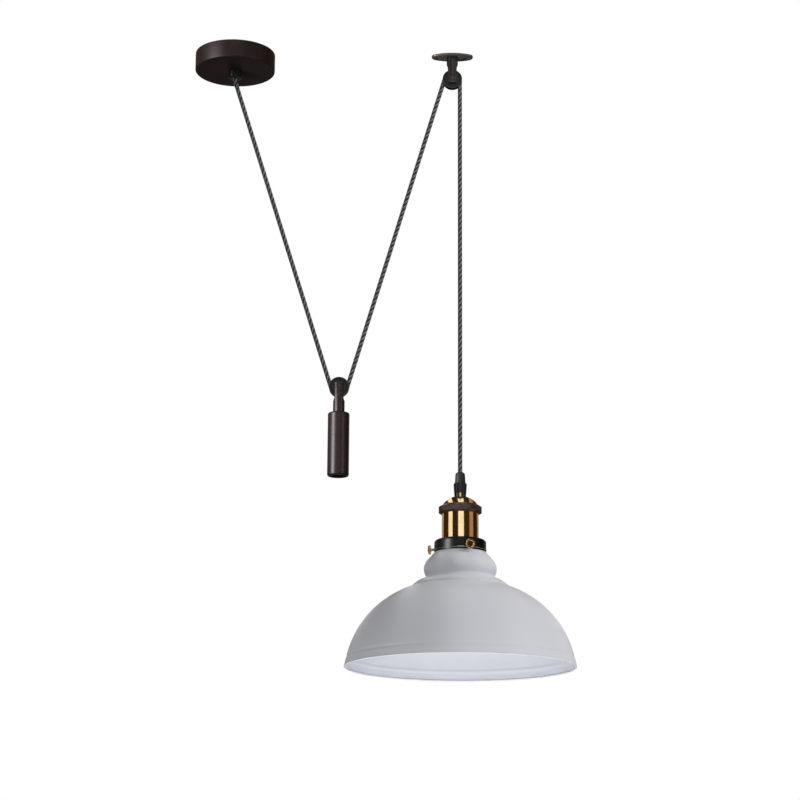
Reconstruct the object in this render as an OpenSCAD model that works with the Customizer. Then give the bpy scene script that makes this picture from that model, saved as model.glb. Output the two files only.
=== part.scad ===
// Rise and fall pendant: a lamp hung on one flex, which runs from a ceiling canopy, down under the
// pulley of a counterweight, up over a ceiling pulley and down again to the lampholder.
// Millimetres. The origin is on the ceiling, on the canopy's axis. +Z is up, +X points towards the lamp.

/* [Layout] */
// From the canopy's axis to the lamp's axis
lamp_x = 289; // [270:1:340]
// From the canopy's axis to the counterweight's axis
weight_x = 139; // [125:1:145]
// Depth of the ceiling pulley's axle under the ceiling
pulley_drop = 32.5; // [30:0.5:45]
// Depth of the counterweight's axle under the ceiling
weight_drop = 441; // [300:1:500]
// Depth of the top of the lamp's cord grip under the ceiling
lamp_drop = 548; // [500:1:700]

/* [Flex] */
// Diameter of the braided three-core flex
flex_d = 5.5; // [5:0.1:7]
// Diameter of each insulated core
core_d = 1.9; // [1.6:0.1:2.2]
// Radius of the bend where the flex leaves the canopy
flex_bend_r = 16; // [12:1:30]

/* [Canopy] */
// Diameter of the pressed steel cover
cover_d = 102; // [90:1:120]
// Depth of the cover
cover_h = 23; // [21:0.5:32]
// Thickness of the cover's steel
cover_wall = 1; // [0.8:0.1:1.6]
// Radius of the cover's pressed lower edge
cover_edge_r = 1.4; // [1.2:0.1:4]
// Length of the strap on the ceiling
strap_l = 84; // [80:1:88]
// Width of the strap
strap_w = 16; // [14:0.5:22]
// Thickness of the strap
strap_t = 1.5; // [1.2:0.1:2.5]
// Depth of the strap's joggle
strap_joggle = 7; // [6:0.5:9]
// Length of the strap's lowered middle
strap_mid_l = 34; // [28:1:40]
// Distance between the two slots
slot_pitch = 62; // [58:1:66]
// Width of each slot, for a 4 mm screw
slot_w = 4.4; // [4:0.1:5.5]
// Length of each slot, end to end
slot_l = 12; // [9:0.5:14]
// Diameter of the threaded nipple
nipple_d = 10; // [9:0.5:12]
// Bore of the nipple
nipple_bore = 7; // [6.5:0.1:7.5]
// Length of nipple that stands above the strap's middle
nipple_rise = 3; // [2.5:0.1:4]
// Width of the nipple's hexagon nut, across its flats
nipple_nut_af = 14; // [13:0.5:17]
// Thickness of the nipple's nut
nipple_nut_t = 2.4; // [2:0.1:2.5]
// Diameter of the canopy's cord grip
canopy_grip_d = 16.4; // [15:0.1:22]
// Height of the canopy's cord grip
canopy_grip_h = 9.6; // [8:0.1:18]
// Depth to which the nipple screws into that grip
canopy_grip_thread = 5; // [4:0.1:6]
// Diameter of the grip's clamping screw
grip_screw_d = 2.5; // [2:0.1:2.6]

/* [Terminal block] */
// Distance between the poles
pole_pitch = 9; // [8.5:0.1:11]
// Diameter of each pole's tower
pole_d = 8; // [7.6:0.1:8.4]
// Length of the block along the wires
block_l = 15; // [13:0.5:18]
// Height of the block
block_h = 11; // [10:0.5:12]
// Thickness of the web that joins the poles
block_web = 4; // [3:0.1:5]
// Outer diameter of the brass barrels
barrel_d = 4.6; // [4.2:0.1:5]
// Bore of the brass barrels
barrel_bore = 3; // [2.6:0.1:3.4]
// Diameter of the terminal screws
terminal_screw_d = 2.6; // [2:0.1:3]
// From the canopy's axis to the near face of the block
block_y = 15; // [14:0.5:20]

/* [Pulleys] */
// Diameter of the wheels over their flanges
wheel_d = 25; // [23.6:0.2:28]
// Radius at which the middle of the flex lies on a wheel
wheel_pitch_r = 9.75; // [9:0.05:10.2]
// Thickness of a wheel
wheel_t = 8; // [7.6:0.1:9]
// Width of the groove at its mouth
groove_w = 6.6; // [6.2:0.1:7]
// Gap between the flex and the groove
groove_gap = 0.15; // [0.1:0.05:0.3]
// Outer diameter of the brass bush in a wheel
bush_d = 6.4; // [5.6:0.1:7]
// Diameter of the axles
axle_d = 4; // [3:0.1:4.6]
// Running gap between an axle and its bush, on the radius
axle_gap = 0.05; // [0.02:0.01:0.1]
// Thickness of the washers beside a wheel
washer_t = 0.4; // [0.3:0.05:0.8]
// Diameter of those washers
washer_d = 8.4; // [7.4:0.1:10]
// Side play left between a wheel and one washer
wheel_play = 0.1; // [0.05:0.01:0.2]
// Diameter of the turned yokes
yoke_d = 14.4; // [14:0.1:18]
// From an axle to the open end of its yoke
yoke_end = 5.8; // [5:0.1:7]
// From the ceiling axle to the closed end of its yoke's slot
pulley_slot_l = 21; // [18:0.1:21]
// From the counterweight's axle to the closed end of its yoke's slot
weight_slot_l = 18; // [17.6:0.1:20]
// Depth of the flat milled round each end of an axle
yoke_flat = 0.8; // [0.5:0.05:1.2]
// Length of that flat above the axle
yoke_flat_l = 4.4; // [3:0.1:6]
// Length of the ceiling plate
plate_l = 53; // [50:1:60]
// Width of the ceiling plate
plate_w = 24; // [22:0.5:28]
// Radius of the ceiling plate's ends
plate_end_r = 8; // [7:0.5:10]
// Thickness of the ceiling plate
plate_t = 3; // [2.5:0.1:4]
// Width of the rounding of the plate's lower edge
plate_round = 1.6; // [0.8:0.1:2]
// Distance between the plate's two screw holes
plate_pitch = 36; // [32:0.5:38]
// Diameter of those holes
plate_hole_d = 4.4; // [4:0.1:5]
// Diameter of the screw that holds the yoke to the plate
yoke_screw_d = 5; // [4:0.5:5]
// Length of that screw
yoke_screw_l = 10; // [8:0.5:10]

/* [Counterweight] */
// Diameter of the counterweight
weight_d = 26.8; // [25:0.1:32]
// Height of the counterweight
weight_h = 80; // [60:1:90]
// Wall of its tube
weight_wall = 3.6; // [3.5:0.1:4.5]
// Thickness of its top
weight_top_t = 4; // [3:0.5:6]
// Radius of its rounded top and bottom edges
weight_edge_r = 2.4; // [1.5:0.1:3.5]
// Thickness of the plug in its bottom
plug_t = 3; // [2.5:0.1:5]
// From the counterweight's axle to its top
weight_stem = 32.8; // [31:0.1:50]
// Diameter of the stud between yoke and counterweight
stud_d = 6; // [5:0.5:6]
// Depth of the stud in the yoke
stud_in_yoke = 9; // [6:0.5:9]
// Width of the stud's hexagon nut, across its flats
stud_nut_af = 10; // [9:0.5:13]
// Thickness of the stud's nut
stud_nut_t = 5; // [4:0.5:6]
// Room over the ballast for the nut and the end of the stud
ballast_room = 9; // [8:0.5:14]

/* [Cord grip] */
// Height of the ribbed cap
grip_cap_h = 13.2; // [11:0.1:18]
// Diameter of the cap at its top
grip_cap_top_d = 11.7; // [11:0.1:12]
// Diameter of the cap at its foot
grip_cap_d = 13.2; // [12.4:0.1:14]
// Number of ribs round the cap
grip_ribs = 8; // [6:1:16]
// Width of the grooves between the ribs
grip_groove_w = 1.2; // [0.8:0.1:1.6]
// Height of the body under the cap
grip_body_h = 17.2; // [15:0.1:24]
// Diameter of the body's shoulder
grip_body_d = 16.3; // [16:0.1:18]
// Diameter of the body at its foot
grip_foot_d = 14.4; // [14:0.1:16]
// Number of slots round the foot
grip_slots = 8; // [6:1:10]
// Width of each slot
grip_slot_w = 3; // [1.5:0.1:3.4]
// Height of each slot
grip_slot_h = 4.4; // [3:0.1:6]
// Diameter of the brass neck under the grip
neck_d = 11.8; // [11:0.1:12]
// Bore of the brass neck
neck_bore = 7; // [6.5:0.1:8]
// Length of the neck inside the grip
neck_in_grip = 8; // [6:0.1:9]

/* [Lampholder] */
// Radius of the domed cap
dome_r = 26.7; // [24:0.1:30]
// Diameter of the cap's skirt
skirt_d = 42.8; // [40:0.1:43]
// Thickness of the brass sheet
brass_t = 0.9; // [0.6:0.1:1]
// Diameter of the shell
shell_d = 44.9; // [44.8:0.1:50]
// Height of the holder from the ring's top to the shell's foot
holder_h = 42.4; // [40:0.1:50]
// Diameter of the knurled ring
ring_d = 52.8; // [50:0.2:58]
// Height of the knurled ring
ring_h = 10.8; // [9:0.1:13]
// Thickness of the ring's lip over the shell
ring_lip = 2; // [1.5:0.1:3]
// Gap between the dome and the ring's lip
ring_gap = 0.1; // [0.05:0.05:0.3]
// Diameter of the socket's barrel
barrel_out_d = 38.6; // [37:0.1:38.8]
// Length of the barrel below the shell's foot
barrel_below = 23.6; // [20:0.1:28]
// Thickness of the socket's floor, which carries the contacts
socket_floor = 6; // [5:0.5:8]
// Height between that floor and the screw shell, for the centre contact
contact_room = 5; // [4.8:0.1:6]
// Height of the wall round the terminals on top of the floor
terminal_wall_h = 6; // [5:0.5:7]
// How far the flange that sits in the shell's foot stands out from the barrel
flange_w = 1.7; // [1.2:0.1:2.1]
// Thickness of that flange
flange_t = 3; // [2:0.1:5]
// Inner diameter of the screw shell, for a 27 mm lamp cap
lamp_cap_d = 26.6; // [26.4:0.1:26.8]
// Length of the screw shell
screw_shell_l = 28; // [24:0.5:30]
// Thickness of the screw shell
screw_shell_t = 0.5; // [0.4:0.1:0.8]
// Depth of the insulating mouth below the screw shell
mouth_h = 10; // [8:0.5:12]

/* [Gallery] */
// Diameter of the gallery
gallery_d = 63.3; // [63:0.1:68]
// Height of the gallery
gallery_h = 15.6; // [14:0.1:22]
// Thickness of its steel
gallery_wall = 1.2; // [0.8:0.1:1.5]
// Width of its rounded shoulder
gallery_shoulder_w = 7; // [5:0.1:8]
// Height of its rounded shoulder
gallery_shoulder_h = 4; // [1.6:0.1:6]
// Width of the ring nut that clamps it to the barrel
gallery_nut_w = 3.7; // [2.7:0.1:3.7]
// Thickness of that nut
gallery_nut_t = 4.4; // [3:0.1:6]
// Height of the thumb screws above the gallery's foot
screw_rise = 4.5; // [4:0.1:6]
// Diameter of the thumb screws
screw_d = 3.4; // [3:0.1:4]
// Running gap round a thumb screw, on the radius
screw_gap = 0.05; // [0.02:0.01:0.1]
// Diameter of a thumb screw's head
screw_head_d = 11.8; // [9:0.1:13]
// Thickness of that head
screw_head_t = 2.3; // [1.8:0.1:3]
// From the gallery's wall to the head, when tight
screw_stand = 5.4; // [4:0.1:10]
// Bearing of the first thumb screw, from +X
screw_bearing = -73; // [-90:0.5:-30]

/* [Shade] */
// Diameter of the shade over its rim
shade_d = 280; // [260:1:320]
// Height of the shade below the gallery
shade_h = 140.6; // [130:0.2:170]
// Thickness of the spun metal
shade_wall = 1; // [0.8:0.1:1.4]
// Diameter of the fitter neck
fitter_d = 56; // [54:0.1:57]
// How far the lip at the top of the neck stands out
fitter_lip = 1.4; // [1:0.1:1.6]
// Diameter of the bulged collar
collar_d = 88.6; // [84:0.2:96]
// Radius of the collar's bulge
collar_r = 15; // [13:0.5:16]
// From the gallery's foot down to the middle of that bulge
collar_drop = 20.5; // [19:0.1:22]
// Depth of the waist inside the bulge
waist_in = 2.5; // [1.5:0.1:4]
// Width of the shoulder, from the waist out to its ring
shoulder_w = 14.9; // [12:0.1:18]
// Height of the shoulder, from the waist to its ring
shoulder_h = 12.5; // [10:0.1:14]
// Radius of the two beads on the shoulder
bead_r = 1.3; // [1.2:0.1:1.6]
// Radius of the rolled rim
rim_r = 1.1; // [0.8:0.1:1.5]
// Height of the swaged groove above the rim
swage_rise = 11; // [8:0.5:16]
// Depth of that groove
swage_depth = 0.7; // [0.3:0.1:1]

/* [Hidden] */
$fn = 96;
eps = 0.01;

bronze = [0.27, 0.2, 0.17];
brass = [0.78, 0.6, 0.3];
black = [0.06, 0.06, 0.06];
zinc = [0.72, 0.73, 0.74];
flex_grey = [0.2, 0.2, 0.2];

// ---- where things are
function ray(angle, r) = [r * cos(angle), r * sin(angle)];
function reverse(list) = [for (i = [len(list) - 1:-1:0]) list[i]];

pulley_x = lamp_x - wheel_pitch_r;
yoke_slot_w = wheel_t + 2 * washer_t + 2 * wheel_play;
cover_floor_z = -cover_h;
canopy_grip_z = -cover_h - canopy_grip_h;
strap_mid_z = -strap_joggle - strap_t;

// The first leg is tangent to the flex's bend at the canopy and to the counterweight's wheel. The
// second runs from that wheel's far side to the near side of the ceiling wheel. Angles are from vertical.
leg_1_dx = weight_x - flex_bend_r;
leg_1_dz = weight_drop + canopy_grip_z;
leg_1_span = norm([leg_1_dx, leg_1_dz]);
leg_1_angle = atan(leg_1_dx / leg_1_dz) + asin((flex_bend_r - wheel_pitch_r) / leg_1_span);
leg_1_l = sqrt(pow(leg_1_span, 2) - pow(flex_bend_r - wheel_pitch_r, 2));
leg_2_dx = pulley_x - weight_x;
leg_2_dz = weight_drop - pulley_drop;
leg_2_span = norm([leg_2_dx, leg_2_dz]);
leg_2_angle = atan(leg_2_dx / leg_2_dz) - asin(2 * wheel_pitch_r / leg_2_span);
leg_2_l = sqrt(pow(leg_2_span, 2) - pow(2 * wheel_pitch_r, 2));

// ---- levels of the lamp, as depths under the ceiling
grip_body_drop = lamp_drop + grip_cap_h;
grip_foot_drop = grip_body_drop + grip_body_h;
dome_foot_drop = grip_foot_drop + dome_r - sqrt(pow(dome_r, 2) - pow(neck_d / 2, 2));
dome_centre_drop = grip_foot_drop + sqrt(pow(dome_r, 2) - pow(neck_d / 2, 2));
skirt_top_drop = dome_centre_drop - sqrt(pow(dome_r, 2) - pow(skirt_d / 2, 2));
ring_drop = skirt_top_drop + 1.03;
shell_top_drop = ring_drop + ring_lip + brass_t;
shell_foot_drop = ring_drop + holder_h;
barrel_foot_drop = shell_foot_drop + barrel_below;
screw_shell_drop = barrel_foot_drop - mouth_h - screw_shell_l;
socket_floor_drop = screw_shell_drop - contact_room;
socket_top_drop = socket_floor_drop - socket_floor - terminal_wall_h;
gallery_foot_drop = shell_foot_drop + gallery_h;
gallery_in_r = gallery_d / 2 - gallery_wall;
screw_drop = gallery_foot_drop - screw_rise;
rim_drop = gallery_foot_drop + shade_h;
shell_in_r = shell_d / 2 - brass_t;

module at_lamp(drop) translate([lamp_x, 0, -drop]) children();
module disc(d, h) translate([0, 0, -h]) cylinder(d = d, h = h);
module tube(d, bore, h) difference() {
    disc(d, h);
    translate([0, 0, eps]) disc(bore, h + 2 * eps);
}
module hexagon(af, h) translate([0, 0, -h]) cylinder(d = af / cos(30), h = h, $fn = 6);
module along_y(d, l) rotate([90, 0, 0]) cylinder(d = d, h = l, center = true);

// ---- a wire swept along a smooth route through hand-placed points
function unit(v) = v / norm(v);
function spline(p, i, t) =
    let (a = p[max(i - 1, 0)], b = p[i], c = p[i + 1], d = p[min(i + 2, len(p) - 1)])
    0.5 * (2 * b + (c - a) * t + (2 * a - 5 * b + 4 * c - d) * t * t
        + (3 * b - a - 3 * c + d) * t * t * t);
function smooth(p, steps) = concat(
    [for (i = [0:len(p) - 2], s = [0:steps - 1]) spline(p, i, s / steps)], [p[len(p) - 1]]);
function heading(p, i) = unit(p[min(i + 1, len(p) - 1)] - p[max(i - 1, 0)]);
function square_on(v, t) = unit(v - (v * t) * t);
function sides(p, i, before) = i == len(p) ? [] :
    let (side = square_on(before, heading(p, i))) concat([side], sides(p, i + 1, side));
module wire(points, d) {
    n = 8;
    route = smooth(points, 3);
    side = sides(route, 0, [1, 0.2, 0.1]);
    rings = [for (i = [0:len(route) - 1], k = [0:n - 1])
        route[i] + d / 2 * (cos(360 * k / n) * side[i]
            + sin(360 * k / n) * cross(heading(route, i), side[i]))];
    last = (len(route) - 1) * n;
    walls = [for (i = [0:len(route) - 2], k = [0:n - 1], half = [0, 1])
        let (a = i * n + k, b = i * n + (k + 1) % n)
        half == 0 ? [a, a + n, b] : [b, a + n, b + n]];
    ends = concat([[for (k = [0:n - 1]) k]], [[for (k = [n - 1:-1:0]) last + k]]);
    polyhedron(concat(rings), concat(walls, ends));
}

// ---- canopy
module canopy_cover() color(bronze)
    rotate_extrude() polygon(concat(
        [[cover_d / 2, 0]],
        [for (a = [0:-15:-90]) [cover_d / 2 - cover_edge_r, cover_floor_z + cover_edge_r]
            + ray(a, cover_edge_r)],
        [[nipple_d / 2 + 0.1, cover_floor_z], [nipple_d / 2 + 0.1, cover_floor_z + cover_wall]],
        [for (a = [-90:15:0]) [cover_d / 2 - cover_edge_r, cover_floor_z + cover_edge_r]
            + ray(a, cover_edge_r - cover_wall)],
        [[cover_d / 2 - cover_wall, 0]]));

module slot_hole() linear_extrude(strap_t + 2 * eps) union() {
    square([slot_l - slot_w, slot_w], center = true);
    for (side = [-1, 1]) translate([side * (slot_l - slot_w) / 2, 0]) circle(d = slot_w);
}

module canopy_strap() color(zinc) difference() {
    foot_x = strap_mid_l / 2 + strap_joggle;
    top = [[strap_l / 2, 0], [foot_x, 0], [strap_mid_l / 2, -strap_joggle]];
    // the lower face keeps the steel's thickness square to the 45 degree joggle
    shift = strap_t * tan(22.5);
    low = [[strap_l / 2, -strap_t], [foot_x + shift, -strap_t],
        [strap_mid_l / 2 + shift, -strap_joggle - strap_t]];
    translate([0, strap_w / 2, 0]) rotate([90, 0, 0]) linear_extrude(strap_w)
        polygon(concat(top, [for (p = reverse(top)) [-p.x, p.y]],
            [for (p = low) [-p.x, p.y]], reverse(low)));
    for (side = [-1, 1]) translate([side * slot_pitch / 2, 0, -strap_t - eps]) slot_hole();
    translate([0, 0, -strap_joggle + eps]) disc(nipple_d, strap_t + 2 * eps);
}

module canopy_nipple() color(brass)
    translate([0, 0, nipple_rise - strap_joggle])
        tube(nipple_d, nipple_bore, nipple_rise + cover_h - strap_joggle + canopy_grip_thread);

module nipple_nut() color(zinc)
    translate([0, 0, nipple_nut_t - strap_joggle]) difference() {
        hexagon(nipple_nut_af, nipple_nut_t);
        translate([0, 0, eps]) disc(nipple_d, nipple_nut_t + 2 * eps);
    }

grip_screw_z = canopy_grip_z + (canopy_grip_h - canopy_grip_thread) / 2;
module canopy_grip() color(black) difference() {
    round_r = 1.2;
    rotate_extrude() polygon(concat(
        [[flex_d / 2, canopy_grip_z], [flex_d / 2, cover_floor_z - canopy_grip_thread],
            [nipple_d / 2, cover_floor_z - canopy_grip_thread],
            [nipple_d / 2, cover_floor_z], [canopy_grip_d / 2, cover_floor_z]],
        [for (a = [0:-18:-90]) [canopy_grip_d / 2 - round_r, canopy_grip_z + round_r]
            + ray(a, round_r)]));
    translate([0, flex_d / 2 - 0.4, grip_screw_z]) rotate([-90, 0, 0])
        cylinder(d = grip_screw_d, h = canopy_grip_d);
}

module canopy_grip_screw() color(zinc) {
    l = (canopy_grip_d - flex_d) / 2 - 0.3;
    translate([0, flex_d / 2, grip_screw_z]) rotate([-90, 0, 0]) difference() {
        cylinder(d = grip_screw_d, h = l);
        translate([0, 0, l]) cube([grip_screw_d + 1, 0.5, 1.2], center = true);
    }
}

// ---- terminal block, loose on the cover's floor
block_z = cover_floor_z + cover_wall;
barrel_z = block_z + block_web / 2 + 1.6;
pole_xs = [-pole_pitch, 0, pole_pitch];
screw_ys = [block_y + block_l / 4, block_y + 3 * block_l / 4];

module terminal_block() color([0.93, 0.92, 0.88]) difference() {
    union() {
        for (x = pole_xs) translate([x - pole_d / 2, block_y, block_z])
            cube([pole_d, block_l, block_h - pole_d / 4]);
        for (x = pole_xs, y = screw_ys) translate([x, y, block_z])
            cylinder(d = block_l / 2 - 0.4, h = block_h);
        translate([-pole_pitch, block_y + 2, block_z]) cube([2 * pole_pitch, block_l - 4, block_web]);
    }
    for (x = pole_xs) {
        translate([x, block_y + block_l / 2, barrel_z]) along_y(barrel_d, block_l + 1);
        for (y = screw_ys) translate([x, y, barrel_z]) cylinder(d = terminal_screw_d + 1, h = block_h);
    }
}

module terminal_barrels() color(brass) for (x = pole_xs)
    translate([x, block_y + block_l / 2, barrel_z]) difference() {
        along_y(barrel_d, block_l - 2);
        along_y(barrel_bore, block_l);
        for (y = [-1, 1]) translate([0, y * block_l / 4, 0]) cylinder(d = terminal_screw_d, h = barrel_d);
    }

module terminal_screws() color(zinc) for (x = pole_xs, y = screw_ys)
    translate([x, y, barrel_z + core_d / 2]) difference() {
        cylinder(d = terminal_screw_d, h = block_h - 8.4);
        translate([0, 0, block_h - 8.4]) cube([terminal_screw_d + 1, 0.5, 1], center = true);
    }

// ---- cores in the canopy: out of the flex, over the nipple's nut and down to their poles
jacket_end_z = -strap_joggle - 2;
core_ring_r = core_d * 0.63;
module canopy_core(bearing, x, tone) color(tone) {
    start = [core_ring_r * cos(bearing), core_ring_r * sin(bearing), jacket_end_z];
    over_z = -core_d / 2 - 0.35;
    wire([start, start + [0, 0, 3], start + [x * 0.1, 0.9, 6.2], [x * 0.45, 5.6, over_z],
        [x * 0.8, 10.4, over_z - 2.4], [x, 12, -10], [x, 12.4, barrel_z + 3],
        [x, 13.6, barrel_z], [x, block_y + 2, barrel_z], [x, block_y + block_l / 4 + 2, barrel_z]], core_d);
}
module canopy_core_live() canopy_core(210, pole_xs[0], [0.4, 0.22, 0.12]);
module canopy_core_neutral() canopy_core(330, pole_xs[2], [0.1, 0.25, 0.6]);
module canopy_core_earth() canopy_core(90, pole_xs[1], [0.35, 0.6, 0.15]);

// ---- the flex: straight lengths between the bend at the canopy and the two wheels
module flex_line(from, angle, l) translate([from.x, 0, from.y]) rotate([0, angle, 0])
    translate([0, 0, -l]) cylinder(d = flex_d, h = l, $fn = 48);
module flex_arc(centre, r, from, to) translate([centre.x, 0, centre.y]) rotate([90, 0, 0])
    rotate([0, 0, from]) rotate_extrude(angle = to - from) translate([r, 0]) circle(d = flex_d, $fn = 48);

pulley_c = [pulley_x, -pulley_drop];
weight_c = [weight_x, -weight_drop];
bend_c = [flex_bend_r, canopy_grip_z];

module flex_canopy_tail() color(flex_grey) {
    flex_line([0, jacket_end_z], 0, jacket_end_z - canopy_grip_z);
    flex_arc(bend_c, flex_bend_r, 180, 180 + leg_1_angle);
}
module flex_canopy_leg() color(flex_grey)
    flex_line(bend_c + ray(180 + leg_1_angle, flex_bend_r), -leg_1_angle, leg_1_l);
module flex_weight_loop() color(flex_grey)
    flex_arc(weight_c, wheel_pitch_r, 180 + leg_1_angle, 360 - leg_2_angle);
module flex_pulley_leg() color(flex_grey)
    flex_line(pulley_c + ray(180 - leg_2_angle, wheel_pitch_r), leg_2_angle, leg_2_l);
module flex_pulley_loop() color(flex_grey)
    flex_arc(pulley_c, wheel_pitch_r, 0, 180 - leg_2_angle);
module flex_lamp_drop() color(flex_grey)
    flex_line([lamp_x, -pulley_drop], 0, lamp_drop - pulley_drop);
flex_end_drop = grip_foot_drop + 3;
module flex_lamp_tail() color(flex_grey)
    flex_line([lamp_x, -lamp_drop], 0, flex_end_drop - lamp_drop);

// ---- pulleys. A wheel has flanges, a round groove for the flex and a pressed-in brass bush.
module sheave() color(bronze) rotate([90, 0, 0]) rotate_extrude() {
    r = wheel_d / 2;
    half = wheel_t / 2;
    root_r = flex_d / 2 + groove_gap;
    lip = 0.4;
    dish = 0.5;
    dish_from = bush_d / 2 + 1.4;
    face = [[bush_d / 2, half], [dish_from, half], [dish_from + dish, half - dish],
        [r - 2.2 - dish, half - dish], [r - 2.2, half], [r - lip, half], [r, half - lip],
        [r, groove_w / 2]];
    groove = [for (a = [90:15:270]) [wheel_pitch_r, 0] + ray(a, root_r)];
    polygon(concat(face, groove, [for (p = reverse(face)) [p.x, -p.y]]));
}
module bush() color(brass) rotate([90, 0, 0]) translate([0, 0, wheel_t / 2])
    tube(bush_d, axle_d + 2 * axle_gap, wheel_t);
axle_l = yoke_d - 2 * yoke_flat + 0.8;
module axle() color(zinc) difference() {
    along_y(axle_d, axle_l);
    for (side = [-1, 1]) translate([0, side * axle_l / 2, 0]) rotate([-side * 90, 0, 0])
        translate([0, 0, -eps]) cylinder(d1 = 2, d2 = 0.4, h = 0.8);
}
module washers() color(zinc) for (side = [-1, 1])
    translate([0, side * (yoke_slot_w - washer_t) / 2, 0]) difference() {
        along_y(washer_d, washer_t);
        along_y(axle_d, washer_t + 1);
    }
// A turned rod with a slot for the wheel. Its open end points down, and its axle is at the origin.
module yoke(rod_l, slot_l, hole_d, hole_l) color(bronze) difference() {
    chamfer = 0.5;
    round_z = slot_l - yoke_slot_w / 2;
    rotate_extrude() polygon([[0, -yoke_end], [yoke_d / 2 - chamfer, -yoke_end],
        [yoke_d / 2, chamfer - yoke_end], [yoke_d / 2, rod_l - chamfer / 2],
        [yoke_d / 2 - chamfer / 2, rod_l], [0, rod_l]]);
    translate([-yoke_d, -yoke_slot_w / 2, -yoke_end - 1]) cube([2 * yoke_d, yoke_slot_w, round_z + yoke_end + 1]);
    translate([0, 0, round_z]) rotate([0, 90, 0]) cylinder(d = yoke_slot_w, h = 2 * yoke_d, center = true);
    for (side = [0, 180]) rotate([0, 0, side])
        translate([-yoke_d / 2, yoke_d / 2 - yoke_flat, -yoke_end - 1])
            cube([yoke_d, yoke_d, yoke_end + yoke_flat_l + 1]);
    along_y(axle_d, 2 * yoke_d);
    translate([0, 0, rod_l + eps]) disc(hole_d, hole_l + eps);
}

// An oval of four arcs, in rings: its full outline at the ceiling and a rounded lower edge.
plate_end_x = plate_l / 2 - plate_end_r;
plate_side_r = (pow(plate_end_x, 2) + pow(plate_w / 2, 2) - pow(plate_end_r, 2))
    / (plate_w - 2 * plate_end_r);
plate_side_y = plate_side_r - plate_w / 2;
plate_join = atan2(plate_side_y, plate_end_x);
plate_arc_n = 16;
function plate_ring(inset) = [for (side = [0, 180]) each concat(
    [for (i = [0:plate_arc_n - 1]) ray(side, plate_end_x)
        + ray(side + plate_join * (2 * i / plate_arc_n - 1), plate_end_r - inset)],
    [for (i = [0:plate_arc_n - 1]) ray(side - 90, plate_side_y)
        + ray(side + plate_join + (180 - 2 * plate_join) * i / plate_arc_n, plate_side_r - inset)])];
module oval_plate() {
    n = 4 * plate_arc_n;
    levels = concat([[0, 0]], [for (a = [0:30:90])
        [plate_round * (1 - cos(a)), -plate_t / 2 * (1 + sin(a))]]);
    last = len(levels) - 1;
    polyhedron([for (l = levels, p = plate_ring(l[0])) [p.x, p.y, l[1]]], concat(
        [[for (k = [n - 1:-1:0]) k]], [[for (k = [0:n - 1]) last * n + k]],
        [for (i = [0:last - 1], k = [0:n - 1])
            [i * n + k, i * n + (k + 1) % n, (i + 1) * n + (k + 1) % n, (i + 1) * n + k]]));
}
module pulley_plate() color(bronze) translate([pulley_x, 0, 0]) difference() {
    head = 2 * yoke_screw_d - 1;
    oval_plate();
    for (side = [-1, 1]) translate([side * plate_pitch / 2, 0, 0]) {
        translate([0, 0, eps]) disc(plate_hole_d, plate_t + 2 * eps);
        translate([0, 0, -plate_t - eps]) cylinder(d1 = plate_hole_d + 3, d2 = plate_hole_d, h = 1.5);
    }
    translate([0, 0, eps]) disc(yoke_screw_d, plate_t + 2 * eps);
    translate([0, 0, -yoke_screw_d / 2 + 0.5]) cylinder(d1 = yoke_screw_d, d2 = head, h = yoke_screw_d / 2 - 0.5);
    translate([0, 0, -eps / 2]) cylinder(d = head, h = eps);
}
module pulley_yoke_screw() color(zinc) translate([pulley_x, 0, 0]) difference() {
    head = 2 * yoke_screw_d - 1;
    union() {
        translate([0, 0, -yoke_screw_d / 2 + 0.5])
            cylinder(d1 = yoke_screw_d, d2 = head, h = yoke_screw_d / 2 - 0.5);
        disc(yoke_screw_d, yoke_screw_l);
    }
    for (a = [0, 90]) rotate([0, 0, a]) cube([yoke_screw_d, 0.9, 2.4], center = true);
}
module pulley_yoke() translate([pulley_x, 0, -pulley_drop])
    yoke(pulley_drop - plate_t, pulley_slot_l, yoke_screw_d, yoke_screw_l - plate_t);
module pulley_axle() translate([pulley_x, 0, -pulley_drop]) axle();
module pulley_washers() translate([pulley_x, 0, -pulley_drop]) washers();
module pulley_wheel() translate([pulley_x, 0, -pulley_drop]) sheave();
module pulley_bush() translate([pulley_x, 0, -pulley_drop]) bush();

// ---- counterweight
module at_weight(drop) translate([weight_x, 0, -weight_drop - drop]) children();
module weight_yoke() at_weight(0) mirror([0, 0, 1]) yoke(weight_stem, weight_slot_l, stud_d, stud_in_yoke);
module weight_axle() at_weight(0) axle();
module weight_washers() at_weight(0) washers();
module weight_wheel() at_weight(0) sheave();
module weight_bush() at_weight(0) bush();
module weight_stud() color(zinc) at_weight(weight_stem - stud_in_yoke)
    disc(stud_d, stud_in_yoke + weight_top_t + stud_nut_t + 1.5);
module weight_nut() color(zinc) at_weight(weight_stem + weight_top_t) difference() {
    hexagon(stud_nut_af, stud_nut_t);
    translate([0, 0, eps]) disc(stud_d, stud_nut_t + 2 * eps);
}
module weight_shell() color(bronze) at_weight(weight_stem) {
    r = weight_d / 2;
    in_r = r - weight_wall;
    rotate_extrude() polygon(concat(
        [[stud_d / 2, -weight_top_t], [stud_d / 2, 0]],
        [for (a = [90:-15:0]) [r - weight_edge_r, -weight_edge_r] + ray(a, weight_edge_r)],
        [for (a = [0:-15:-90]) [r - weight_edge_r, weight_edge_r - weight_h] + ray(a, weight_edge_r)],
        [[in_r, -weight_h], [in_r, -weight_top_t]]));
}
module weight_ballast() color([0.35, 0.36, 0.38]) at_weight(weight_stem + weight_top_t + ballast_room)
    disc(weight_d - 2 * weight_wall, weight_h - weight_top_t - ballast_room - plug_t);
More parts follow.
